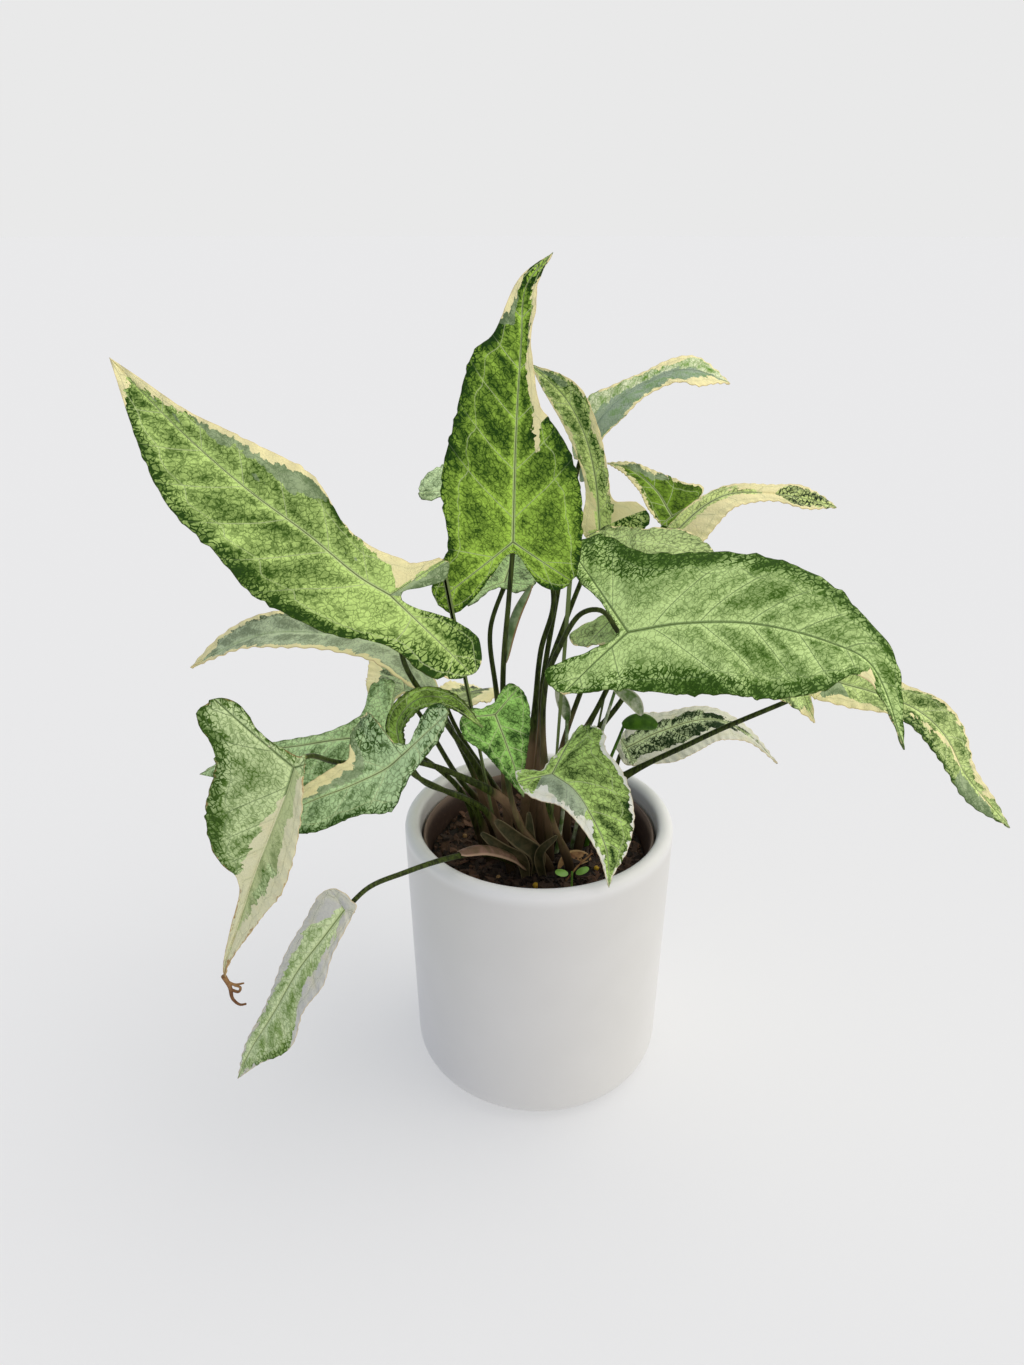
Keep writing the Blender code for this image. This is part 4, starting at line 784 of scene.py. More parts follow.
def bump(pattern, height):
    """A normal from a pattern; height in mm is how high a value of 1 stands."""
    return add_node("Bump", {"Height": pattern, "Distance": height * MM}).outputs[0]


def leaf_group():
    """The node group of every blade's pattern: veins with painted shade in their grooves, mottling, pale
    bands, dry ends and a paler underside.

    The inputs are a leaf's own tones, seed and mottling, the outputs its colour and its fine relief.
    """
    group = bpy.data.node_groups.new("leaf_pattern", "ShaderNodeTree")
    for kind, way, names in (("Color", "INPUT", ("Light", "Dark", "Vein", "Pale", "Ash")),
                             ("Float", "INPUT", ("Seed", "Mottling")),
                             ("Color", "OUTPUT", ("Colour",)),
                             ("Float", "OUTPUT", ("Height",))):
        for name in names:
            group.interface.new_socket(name, in_out=way, socket_type="NodeSocket" + kind)
    given = group.nodes.new("NodeGroupInput").outputs
    result = group.nodes.new("NodeGroupOutput")
    x, y, under = attribute(group, "flat")
    rib, number, gap = attribute(group, "veins")
    across, to_margin, to_inner_vein = attribute(group, "place")
    cream, grey, dark = attribute(group, "bands")
    dry = attribute(group, "dry")[0]
    flat = vector(x, y, given["Seed"])
    rays = vector(calc("MULTIPLY", number, 2.2), calc("MULTIPLY", across, 1.6), given["Seed"])

    # Veins: a thin line with a soft light border, and a net of fine veins
    rib_line = fall(rib, 0.7, 1.3)
    rib_border = fall(rib, 0.6, 5.5)
    turned = calc("FRACT", calc("ADD", number, 0.5))
    to_side_vein = calc("MULTIPLY", calc("ABSOLUTE", calc("SUBTRACT", turned, 0.5)), gap)
    far_out = rise(across, 0.62, 0.9, 1.0, 0.15)
    side_line = calc("MULTIPLY", fall(to_side_vein, 0.10, 0.40), far_out)
    side_border = calc("MULTIPLY", fall(to_side_vein, 0.1, 3.4), far_out)
    beside_inner_vein = calc("ABSOLUTE", to_inner_vein)
    inner_line = fall(beside_inner_vein, 0.06, 0.34, 0.7)
    inner_border = fall(beside_inner_vein, 0.1, 2.4, 0.6)
    line = calc("MAXIMUM", calc("MAXIMUM", rib_line, side_line), inner_line)
    border = calc("MAXIMUM", side_border, inner_border)
    bend = wander(flat, 0.5, 3.0)
    sideways = vector(bend, calc("MULTIPLY", bend, -1.0), 0.0)
    bent = add_node("VectorMath", {0: flat, 1: sideways}, operation="ADD")
    net = add_node("TexVoronoi", {"Vector": bent.outputs[0], "Scale": 4.6}, feature="DISTANCE_TO_EDGE")
    to_net = net.outputs["Distance"]
    net_line = fall(to_net, 0.02, 0.13)

    # Mottling: a fine grain and a net everywhere, dark clouds between the veins and towards the margin,
    # and a light field round the joint
    grain = noise(flat, 13.0, 4.0, 0.8)
    fleck = noise(flat, 3.2, 3.0, 0.7)
    cloud = noise(rays, 1.0, 2.0, 0.5)
    patchy = noise(flat, 1.2, 2.0, 0.6)
    from_joint = rise(distance(x, y), 0.5, 5.0, -0.35, 0.1)
    outwards = rise(across, 0.6, 1.0, 0.0, 0.2)
    blotch = rise(to_net, 0.03, 0.17, 1.1, 0.2)
    amount = total((fleck, 1.3), (cloud, 2.3), (patchy, 0.9), (grain, 1.7), (border, -0.5),
                   (rib_border, -0.7), (net_line, 0.35), (from_joint, 1.0), (outwards, 1.0),
                   (rise(dark, -5.0, 3.0), blotch), (given["Mottling"], 1.0))
    colour = mix_colour(rise(amount, 2.25, 4.2), given["Light"], given["Dark"])
    colour = mix_colour(rise(amount, 3.7, 4.5, 0.0, 0.7), colour, tone(30, 54, 22))
    colour = mix_colour(calc("MULTIPLY", net_line, 0.3), colour, given["Dark"])
    colour = mix_colour(calc("MULTIPLY", line, 0.7), colour, given["Vein"])
    # Painted shade: the middle of the midrib and of each lobe's vein is painted darker, as the shadow in
    # their grooves.
    painted_groove_shade = mix_colour(0.5, given["Dark"], tone(84, 84, 50))
    colour = mix_colour(fall(rib, 0.15, 0.55, 0.8), colour, painted_groove_shade)

    # Bands: ragged along the side veins, with flecks of green left in them
    shift = calc("ADD", wander(rays, 9.0, 1.2, 3.0, 0.65), wander(flat, 3.0, 4.0, 3.0, 0.65))
    in_grey = rise(calc("ADD", grey, shift), -0.25, 0.25, 0.0, 0.9)
    ash = mix_colour(rise(amount, 2.5, 4.0, 0.0, 0.6), given["Ash"], given["Dark"])
    colour = mix_colour(in_grey, colour, ash)
    freckle = rise(noise(flat, 6.5, 2.0, 0.7), 0.64, 0.72, 0.0, 0.2)
    pale = mix_colour(freckle, given["Pale"], given["Ash"])
    pale = mix_colour(rise(patchy, 0.5, 0.8, 0.0, 0.25), pale, tone(238, 216, 156))
    pale = mix_colour(calc("MULTIPLY", border, 0.3), pale, tone(226, 230, 176))
    in_cream = rise(calc("ADD", cream, shift), -0.15, 0.15)
    colour = mix_colour(in_cream, colour, pale)
    colour = mix_colour(rise(calc("ADD", dry, shift), -0.6, 0.6), colour, tone(178, 146, 98))
    edge_colour = mix_colour(in_cream, tone(74, 82, 36), tone(222, 196, 140))
    colour = mix_colour(fall(to_margin, 0.10, 0.45, 0.55), colour, edge_colour)
    underside = mix_colour(0.45, colour, tone(150, 168, 120))
    put(result, "Colour", mix_colour(under, colour, underside))
    put(result, "Height", total((grain, 0.8), (net_line, -0.35), (line, -0.9)))
    return group


LEAF_PATTERN = leaf_group()


def leaf_material(leaf, order):
    """The shared pattern in one leaf's own tones, with a satin surface."""
    looks = {**USUAL_LOOKS, **LOOKS[leaf["name"]]}
    material, shader = new_material("leaf_" + leaf["name"], 0.5, 0.1)
    pattern = material.node_tree.nodes.new("ShaderNodeGroup")
    pattern.node_tree = LEAF_PATTERN
    for key, name in (("Light", "green"), ("Dark", "mottle"), ("Vein", "vein"), ("Pale", "pale"),
                      ("Ash", "ash")):
        put(pattern, key, tone(*looks[name]))
    put(pattern, "Seed", 3.7 * order)
    put(pattern, "Mottling", looks["mottling"])
    put(shader, "Base Color", pattern.outputs["Colour"])
    put(shader, "Normal", bump(pattern.outputs["Height"], 0.25))
    return material


# Stalks
# Each is a smooth stalk, wide and flattened below where its sheath wrapped the younger leaves, thin and
# round above, and grown on into the underside of its own blade. Every leaf is made whole, one after
# another.
SOIL_TOP = 127.0
ROOT_DEPTH = 15.0
ROOT_STRAIGHT = 9.0
SHEATH_RADIUS = 2.9
STALK_RADIUS = 1.7
TIP_RADIUS = 1.3
SLIMMER = 0.84
SHEATH_FLATTEN = 0.8
SHEATH_END = 0.32
STALK_START = 0.48
JOINT_SWELL = 0.15
GROOVE_DEPTH = 0.22
GROOVE_WIDTH = 0.45
UNDERSIDE_RISE = 0.3
BELOW_JOINT = 1.5
BEHIND_JOINT = 2.5
BELOW_SINUS = 1.8
RUN_ON = 7.0
BELOW_RIB = 0.9
STALK_SIDES = 16
STALK_RING_STEP = 2.5


def eased(values, low, high):
    """0 below low and 1 above high, with a smooth rise between: 3 k squared minus 2 k cubed."""
    k = np.clip((values - low) / (high - low), 0.0, 1.0)
    return k * k * (3.0 - 2.0 * k)


def carried(path, facing, wide, deep):
    """Points beside a path: each lies wide across it and deep along a normal carried from end to end."""
    along, normals = carried_frame(path, np.array(facing, float))
    across = np.cross(along, normals)
    points = path[:, None] + wide[..., None] * across[:, None] + deep[..., None] * normals[:, None]
    return points.reshape(-1, 3)


def ring_faces(gaps, sides, start=0):
    """Four-sided faces in each gap between closed rings of points, which are numbered from start."""
    ring = start + sides * np.arange(gaps)[:, None]
    side = np.arange(sides)
    after = np.roll(side, -1)
    return np.stack([ring + side, ring + sides + side, ring + sides + after, ring + after], -1).reshape(-1, 4)


def stalk_path(leaf):
    """The part's centre line, carried on past the joint under the midrib."""
    curve, length = smooth_curve(leaf["rib"], RIB_SAMPLES)
    along, normals = carried_frame(curve, np.array(leaf["face"], float))
    joint = np.array(leaf["rib"][0], float)
    arrival = unit(joint - np.array(leaf["via"][-1], float))
    under_joint = joint - normals[0] * BELOW_JOINT
    if float(np.dot(arrival, normals[0])) <= UNDERSIDE_RISE:
        under_joint = joint - along[0] * BEHIND_JOINT - normals[0] * BELOW_SINUS
    step = int(RIB_SAMPLES * RUN_ON / length)
    run_on = curve[step] - normals[step] * BELOW_RIB
    bottom = SOIL_TOP - ROOT_DEPTH
    below = [(*leaf["root"], bottom + k * ROOT_STRAIGHT) for k in range(3)]
    return np.array(below + leaf["via"] + [tuple(under_joint), tuple(run_on)], float)


def make_stalk(leaf, material):
    """A tube along the stalk's centre line, grooved at the front, that ends in a fine point."""
    length = smooth_curve(stalk_path(leaf), 2)[1]
    rings = int(length / STALK_RING_STEP)
    path, length = smooth_curve(stalk_path(leaf), rings + 1)
    k = np.linspace(0.0, length, rings + 1)[:, None] / (length - RUN_ON)
    narrowing = eased(k, SHEATH_END, STALK_START)
    radius = SHEATH_RADIUS + (STALK_RADIUS - SHEATH_RADIUS) * narrowing
    radius = radius + (TIP_RADIUS - STALK_RADIUS) * np.clip((k - STALK_START) / (1.0 - STALK_START), 0.0, 1.0)
    radius = SLIMMER * radius * (1.0 + JOINT_SWELL * np.exp(-((k - 1.0) / 0.03) ** 2))
    radius = radius * (1.0 - 0.8 * eased(k, 1.0, k[-1]))
    flatten = SHEATH_FLATTEN + (1.0 - SHEATH_FLATTEN) * narrowing
    angles = math.tau * np.arange(STALK_SIDES) / STALK_SIDES
    in_groove = np.exp(-((angles - math.pi / 2) / GROOVE_WIDTH) ** 2)
    radius = radius * (1.0 - GROOVE_DEPTH * in_groove * (1.0 - 0.6 * narrowing))
    points = carried(path, (0.0, -1.0, 0.2), radius * np.cos(angles), radius * flatten * np.sin(angles))
    faces = ring_faces(rings, STALK_SIDES).tolist()
    faces.append(list(range(STALK_SIDES)))
    faces.append(list(range(len(points) - 1, len(points) - 1 - STALK_SIDES, -1)))
    stalk = add_piece("stalk_" + leaf["name"], points, faces, material)
    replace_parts(stalk, "petiole_" + leaf["name"])


def own_place(shader):
    """A piece's own coordinates in metres, in the tree of its shader."""
    return shader.id_data.nodes.new("ShaderNodeTexCoord").outputs["Object"]


stalk_material, stalk_shader = new_material("stalk_olive", 0.5, 0.15)
stalk_place = own_place(stalk_shader)
stalk_x, stalk_y, stalk_z = apart(stalk_place)
stalk_grain = noise(vector(stalk_x, stalk_y, calc("MULTIPLY", stalk_z, 0.12)), 900.0, 2.0, 0.6)
stalk_colour = mix_colour(rise(stalk_grain, 0.3, 0.7), tone(28, 36, 6), tone(70, 84, 30))
near_crown = fall(distance(stalk_x, stalk_y), 0.026, 0.042)
sheathed = calc("MULTIPLY", fall(stalk_z, 0.165, 0.245), near_crown)
browned = rise(calc("MULTIPLY", sheathed, noise(stalk_place, 60.0)), 0.18, 0.5, 0.0, 0.9)
stalk_colour = mix_colour(browned, stalk_colour, tone(136, 110, 84))
# Painted shade: the stalks are painted nearly black low down by the soil, where the leaves shade the crown.
stalk_colour = mix_colour(fall(stalk_z, 0.126, 0.166, 0.85), stalk_colour, tone(36, 28, 16))
put(stalk_shader, "Base Color", stalk_colour)
put(stalk_shader, "Normal", bump(stalk_grain, 0.08))
for order, each_leaf in enumerate(LEAVES):
    make_blade(each_leaf, leaf_material(each_leaf, order))
    make_stalk(each_leaf, stalk_material)

# Sheath ends and small growth
# Round the crown stand the free ends of older sheaths, dished and brown with pale edges. A pale sheath
# arches from the tall leaf's stalk, three young leaves are still small, and one leaf tip has dried up.
SHEATH_THICKNESS = 0.4
STRIP_ROWS = 20
STRIP_COLUMNS = 9
STRIP_ENDS = 0.02
THREAD_SIDES = 10
THREAD_RINGS = 24


def dished_strip(path, facing, half_width, dish, blunt):
    """A thin closed strip along a path: its edges rise by dish times the half width, u squared across.

    The half width follows sin(pi k) to the power blunt, from k = 0 at one end to 1 at the other.
    Returns points, faces and how near each point is to the rim.
    """
    line, _ = smooth_curve(path, STRIP_ROWS + 1)
    k = np.linspace(STRIP_ENDS, 1.0 - STRIP_ENDS, STRIP_ROWS + 1)[:, None]
    width = half_width * np.sin(math.pi * k) ** blunt
    u = np.linspace(-1.0, 1.0, STRIP_COLUMNS)
    upper, lower = [carried(line, facing, width * u, dish * width * u ** 2 + half)
                    for half in (SHEATH_THICKNESS / 2, -SHEATH_THICKNESS / 2)]
    count = len(upper)
    index = np.arange(count).reshape(STRIP_ROWS + 1, STRIP_COLUMNS)
    a, b, c, d = [corner.ravel() for corner in cell_corners(index)]
    sheet = np.stack([a, d, c, b], 1)
    border = np.concatenate([index[:, 0], index[-1, 1:], index[-2::-1, -1], index[0, -2:0:-1]])
    after = np.roll(border, -1)
    walls = np.stack([border, after, after + count, border + count], 1)
    faces = np.concatenate([sheet, sheet[:, ::-1] + count, walls])
    rim = np.maximum(np.abs(u), eased(np.abs(2 * k - 1), 0.85, 1.0)).ravel()
    return np.concatenate([upper, lower]), faces.tolist(), np.tile(rim, 2)


def thread(path, radii):
    """A round tube along a path, with the radius going evenly from the first to the second."""
    line, _ = smooth_curve(path, THREAD_RINGS + 1)
    angles = math.tau * np.arange(THREAD_SIDES) / THREAD_SIDES
    radius = np.linspace(*radii, THREAD_RINGS + 1)[:, None]
    rings = carried(line, (0.1, -1.0, 0.3), radius * np.cos(angles), radius * np.sin(angles))
    points = np.concatenate([rings, line[:1], line[-1:]])
    side = np.arange(THREAD_SIDES)
    after = np.roll(side, -1)
    start = np.full(THREAD_SIDES, len(rings))
    last = len(rings) - THREAD_SIDES
    caps = [np.stack([start, side, after], 1), np.stack([start + 1, last + after, last + side], 1)]
    faces = ring_faces(THREAD_RINGS, THREAD_SIDES).tolist() + np.concatenate(caps).tolist()
    return points, faces, np.zeros(len(points))


def add_growth(name, material, *parts):
    """Several strips, threads or beads as one piece; its rim layer is 1 where the edge tone shows."""
    points, faces, rims = [], [], []
    start = 0
    for part_points, part_faces, rim in parts:
        points.append(part_points)
        for face in part_faces:
            faces.append([corner + start for corner in face])
            rims += [float(rim[corner]) for corner in face]
        start += len(part_points)
    return add_piece(name, np.concatenate(points), faces, material, {"rim": np.column_stack([rims] * 3)})


def papery_material(name, middle, patches, rim_tone, roughness):
    """A leaf skin with cloudy patches, streaks along it and an edge of another tone."""
    material, shader = new_material(name, roughness, 0.2)
    place = own_place(shader)
    clouds = rise(noise(place, 160.0, 3.0, 0.6), 0.35, 0.65)
    streaks = noise(place, 700.0, 3.0, 0.7)
    colour = mix_colour(clouds, tone(*middle), tone(*patches))
    colour = mix_colour(rise(streaks, 0.45, 0.8, 0.0, 0.5), colour, tone(*patches))
    at_rim = rise(attribute(material.node_tree, "rim")[0], 0.72, 0.98, 0.0, 0.9)
    put(shader, "Base Color", mix_colour(at_rim, colour, tone(*rim_tone)))
    put(shader, "Normal", bump(streaks, 0.15))
    return material


brown_sheath = papery_material("sheath_brown", (84, 76, 50), (52, 54, 30), (128, 116, 86), 0.6)
spoon_skin = papery_material("sheath_rose_brown", (128, 98, 84), (92, 76, 54), (176, 148, 124), 0.55)
green_sheath = papery_material("sheath_green", (150, 168, 124), (96, 120, 72), (150, 112, 76), 0.55)
young_green = papery_material("young_leaf_green", (76, 116, 26), (44, 80, 10), (96, 128, 60), 0.45)
young_pale = papery_material("young_leaf_pale", (196, 200, 176), (96, 124, 64), (216, 214, 190), 0.5)
dry_skin = papery_material("dry_leaf_brown", (158, 122, 80), (112, 76, 50), (186, 156, 110), 0.7)

add_growth(
    "sheath_ends", brown_sheath,
    dished_strip([(-2, -24, 122), (-1, -27, 142), (-11, -30, 153), (-21, -33, 165)], (0.3, -0.8, 0.5), 4.0,
                 0.5, 0.4),
    dished_strip([(-6, -26, 122), (-9, -29, 140), (-18, -32, 148), (-28, -34, 158)], (0.2, -0.7, 0.7), 3.2,
                 0.5, 0.4),
    dished_strip([(4, -26, 122), (1, -30, 145), (9, -32, 156)], (-0.2, -0.8, 0.5), 2.4, 0.6, 0.4),
    dished_strip([(0, -20, 122), (-4, -26, 150), (-5, -27, 166)], (0.1, -0.9, 0.3), 2.6, 0.5, 0.4))
add_growth(
    "front_stalk_sheath", spoon_skin,
    dished_strip([(-37, -53, 159.5), (-26, -42, 155.3), (-13, -31, 143.6), (-6, -25.5, 132)],
                 (0.1, -0.2, 1.0), 4.2, -0.5, 0.35))
add_growth(
    "pale_arched_sheath", green_sheath,
    dished_strip([(-17, -13, 240), (-15.4, -9.5, 252), (-12, -6.5, 263), (-5, -4, 276)],
                 (-0.6, -0.8, 0.1), 2.8, -0.4, 0.5))
add_growth(
    "young_leaves_green", young_green,
    dished_strip([(42, 8, 197), (51, 8, 199), (60, 8, 197)], (0.0, -0.8, 0.6), 4.4, 0.25, 0.5),
    thread([(25, 2, 122), (31, 4, 160), (43, 8, 197)], (1.2, 0.8)),
    dished_strip([(59, 38, 293), (65, 37, 286), (74, 36, 281)], (-0.1, -0.9, 0.4), 3.6, 1.0, 0.5))
add_growth(
    "young_leaves_pale", young_pale,
    dished_strip([(36, 2, 221), (45, 2, 215), (51, 2, 206)], (0.2, -0.9, 0.3), 3.6, 0.6, 0.6),
    thread([(17, -1, 122), (24, 1, 165), (37, 2, 219)], (1.2, 0.8)),
    dished_strip([(8, -4, 224), (12, -4, 214), (14, -4, 205)], (-0.2, -0.9, 0.2), 3.0, 0.7, 0.6),
    thread([(9, -6, 122), (13, -5, 160), (13.5, -4, 208)], (1.2, 0.9)))
add_growth(
    "dry_curled_tip", dry_skin,
    thread([(-145, -88.5, 113), (-143, -88, 106), (-142.5, -88, 99), (-139.5, -88, 95.5), (-136.5, -88, 96)],
           (1.3, 0.5)),
    thread([(-144.6, -88, 109.5), (-141, -87, 106.6), (-136.5, -87, 107.6)], (0.9, 0.4)),
    thread([(-143, -88, 104.5), (-139.6, -87, 102.4), (-138.5, -87, 105), (-141, -87.5, 106.5)], (0.8, 0.5)))
add_growth(
    "dead_leaf_scraps", dry_skin,
    dished_strip([(11, -20, 126.5), (18, -14, 129), (27, -9, 128)], (0.1, -0.3, 1.0), 5.0, 0.3, 0.5),
    thread([(14, -29, 126.5), (20, -22, 130.5), (28, -13, 133)], (0.5, 0.5)))

# Cover pot
# A plain straight pot of white glazed stoneware, thrown in one piece with a rounded lip and foot. A
# painted highlight brightens the glaze over the lip.
POT_HEIGHT = 148.0
POT_TOP_RADIUS = 70.0
POT_BASE_RADIUS = 67.3
POT_WALL = 8.0
POT_FLOOR = 7.0
POT_FOOT_ROUND = 14.0
POT_FLOOR_ROUND = 6.0
POT_MOUTH_DEPTH = 40.0
POT_SIDES = 144
LIP = POT_WALL / 2
FOOT_FLAT = POT_BASE_RADIUS - POT_FOOT_ROUND - 0.5
INNER_BASE = POT_BASE_RADIUS - POT_WALL
GLAZE = (0.78, 0.77, 0.75, 1.0)
GLAZE_CLOUD = (0.73, 0.72, 0.695, 1.0)
GLAZE_PAINTED_HIGHLIGHT = (0.92, 0.92, 0.91, 1.0)


def arc(centre, radius, start, end, count):
    """Points on a round corner of a profile, from one angle in degrees to another."""
    angles = np.radians(np.linspace(start, end, count))
    return [(centre[0] + radius * math.cos(a), centre[1] + radius * math.sin(a)) for a in angles]


def turned(name, profile, sides, material):
    """A profile of (radius, height) from axis to axis, turned about Z: x is radius cos a, y radius sin a."""
    radii, heights = np.array(profile).T[..., None]
    angles = math.tau * np.arange(sides) / sides
    grid = np.stack([radii * np.cos(angles), radii * np.sin(angles), heights + 0.0 * angles], -1)
    index = np.arange(radii.size * sides).reshape(-1, sides)
    on_axis = radii[:, 0] == 0.0
    index[on_axis] = index[on_axis][:, :1]
    low, high = index[:-1], index[1:]
    quads = np.stack([low, np.roll(low, -1, 1), np.roll(high, -1, 1), high], -1)
    used, corners = np.unique(quads, return_inverse=True)
    faces = [list(dict.fromkeys(face)) for face in corners.reshape(-1, 4).tolist()]
    return add_piece(name, grid.reshape(-1, 3)[used], faces, material)


pot_material, pot_shader = new_material("white_glaze", 0.3)
pot_place = own_place(pot_shader)
pot_cloud = noise(pot_place, 35.0, 3.0)
# Painted highlight: the glaze is painted paler over the lip.
painted_lip_highlight = rise(apart(pot_place)[2], 0.139, 0.147, 0.0, 0.8)
put(pot_shader, "Base Color", mix_colour(painted_lip_highlight, mix_colour(pot_cloud, GLAZE, GLAZE_CLOUD), GLAZE_PAINTED_HIGHLIGHT))
put(pot_shader, "Normal", bump(pot_cloud, 0.25))
pot_profile = [(0.0, 0.0), (FOOT_FLAT, 0.0)]
pot_profile += arc((POT_BASE_RADIUS - POT_FOOT_ROUND, POT_FOOT_ROUND), POT_FOOT_ROUND, -90, 0, 14)
pot_profile += arc((POT_TOP_RADIUS - LIP, POT_HEIGHT - LIP), LIP, 0, 180, 17)
pot_profile += [(POT_TOP_RADIUS - POT_WALL, POT_HEIGHT - POT_MOUTH_DEPTH)]
pot_profile += arc((INNER_BASE - POT_FLOOR_ROUND, POT_FLOOR + POT_FLOOR_ROUND), POT_FLOOR_ROUND, 0, -90, 8)
pot_profile += [(0.0, POT_FLOOR)]
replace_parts(turned("cover_pot_glazed", pot_profile, POT_SIDES, pot_material), "cover_pot")

# Nursery pot
# The thin brown plastic pot that the plant was grown in, dropped into the cover pot. Its turned-out rim,
# paler on its top, shows as a dark line inside the white lip.
LINER_TOP = 139.0
LINER_RIM_RADIUS = 60.6
LINER_TOP_RADIUS = 59.2
LINER_BASE_RADIUS = 47.0
LINER_WALL = 1.2
LINER_RIM_DEPTH = 9.0
LINER_BASE = 7.3
LINER_SIDES = 96
LINER_RIM_ROUND = 0.3
LINER_COLLAR = LINER_TOP - LINER_RIM_DEPTH


def liner_radius(height):
    """Outer radius of the nursery pot at a height."""
    share = (height - LINER_BASE) / (LINER_TOP - LINER_BASE)
    return LINER_BASE_RADIUS + (LINER_TOP_RADIUS - LINER_BASE_RADIUS) * share


liner_material, liner_shader = new_material("brown_plastic", 0.5)
liner_place = own_place(liner_shader)
dusty = rise(noise(liner_place, 400.0, 3.0, 0.7), 0.5, 0.8, 0.0, 0.5)
# The rim's top is paler.
rim_top_paler = rise(apart(liner_place)[2], 0.1345, 0.1382, 0.0, 0.8)
liner_colour = mix_colour(dusty, tone(62, 45, 36), tone(120, 96, 76))
put(liner_shader, "Base Color", mix_colour(rim_top_paler, liner_colour, tone(136, 114, 98)))
rim_inside = LINER_RIM_RADIUS - LINER_WALL
liner_profile = [
    (0.0, LINER_BASE),
    (LINER_BASE_RADIUS, LINER_BASE),
    (liner_radius(LINER_COLLAR), LINER_COLLAR),
    (LINER_RIM_RADIUS, LINER_COLLAR),
    (LINER_RIM_RADIUS, LINER_TOP - LINER_RIM_ROUND),
    (LINER_RIM_RADIUS - LINER_RIM_ROUND, LINER_TOP),
    (rim_inside + LINER_RIM_ROUND, LINER_TOP),
    (rim_inside, LINER_TOP - LINER_RIM_ROUND),
    (liner_radius(LINER_COLLAR) - LINER_WALL, LINER_COLLAR),
    (LINER_BASE_RADIUS - LINER_WALL, LINER_BASE + LINER_WALL),
    (0.0, LINER_BASE + LINER_WALL),
]
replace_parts(turned("nursery_pot_rim", liner_profile, LINER_SIDES, liner_material), "nursery_pot")

# Soil
# A loose dark mix of bark chips and peat crumbs, filled to just below the rim, with painted shade making it
# darkest round the crown. One bumpy bed carries the chips and the crumbs that lie on it.
SOIL_BUMP = 1.0
SOIL_EDGE_DROP = 1.5
SOIL_SIDE_GAP = 0.7
SOIL_BASE = 8.8
SOIL_RINGS = 46
SOIL_SIDES = 128
CHIPS = 900
CRUMBS = 2200
CORNER_JITTER = 0.22
CROWN = (0.0, -0.012, 0.127)
# The darkest crumbs' tone, which also paints the shade round the crown.
DARK_CRUMBS_AND_PAINTED_SHADE = (16, 12, 8)
draws = np.random.default_rng(7)


def soil_height(x, y):
    """Bumpy top of the soil, a sum of a few ripples, a little lower towards the pot's wall."""
    ripple = np.sin(0.21 * x + 0.4) * np.cos(0.17 * y - 0.9) + 0.6 * np.sin(0.43 * x - 0.31 * y + 1.1)
    slope = SOIL_EDGE_DROP * (np.hypot(x, y) / LINER_TOP_RADIUS) ** 2
    return SOIL_TOP + SOIL_BUMP * ripple - slope


def boxes(centres, sizes, turns):
    """Rough boxes with every corner moved at random; returns their points and four-sided faces."""
    signs = np.array([(a, b, c) for a in (-1, 1) for b in (-1, 1) for c in (-1, 1)], float) / 2
    corners = signs[None] + draws.uniform(-CORNER_JITTER, CORNER_JITTER, (len(centres), 8, 3))
    corners = corners * sizes[:, None]
    yaw, pitch, roll = turns.T
    for angle, first, second in ((roll, 1, 2), (pitch, 0, 2), (yaw, 0, 1)):
        c = np.cos(angle)[:, None]
        s = np.sin(angle)[:, None]
        moved = corners.copy()
        moved[..., first] = corners[..., first] * c - corners[..., second] * s
        moved[..., second] = corners[..., first] * s + corners[..., second] * c
        corners = moved
    points = (corners + centres[:, None]).reshape(-1, 3)
    sides = np.array([(0, 1, 3, 2), (4, 6, 7, 5), (0, 4, 5, 1), (2, 3, 7, 6), (0, 2, 6, 4), (1, 5, 7, 3)])
    faces = (sides[None] + 8 * np.arange(len(centres))[:, None, None]).reshape(-1, 4)
    return points, faces


def scatter(count, radius, lift):
    """Random places on the soil, spread evenly inside a circle."""
    reach = radius * np.sqrt(draws.uniform(0.0, 1.0, count))
    angle = draws.uniform(0.0, math.tau, count)
    x = reach * np.cos(angle)
    y = reach * np.sin(angle)
    return np.stack([x, y, soil_height(x, y) + lift], -1)


earth_material, earth_shader = new_material("dark_bark_soil", 0.9)
earth_place = own_place(earth_shader)
earth_grain = noise(earth_place, 1200.0, 3.0, 0.6)
from_crown = add_node("VectorMath", {0: earth_place, 1: CROWN}, operation="DISTANCE").outputs["Value"]
earth_tint = attribute(earth_material.node_tree, "tint")[0]
earth_colour = mix_colour(earth_tint, tone(32, 24, 18), tone(122, 88, 66))
earth_colour = mix_colour(rise(earth_grain, 0.4, 0.8, 0.0, 0.6), earth_colour, tone(*DARK_CRUMBS_AND_PAINTED_SHADE))
# Painted shade: the soil is painted darker round the crown, under the leaves.
earth_colour = mix_colour(fall(from_crown, 0.012, 0.040, 0.7), earth_colour, tone(*DARK_CRUMBS_AND_PAINTED_SHADE))
put(earth_shader, "Base Color", earth_colour)
put(earth_shader, "Normal", bump(earth_grain, 0.4))

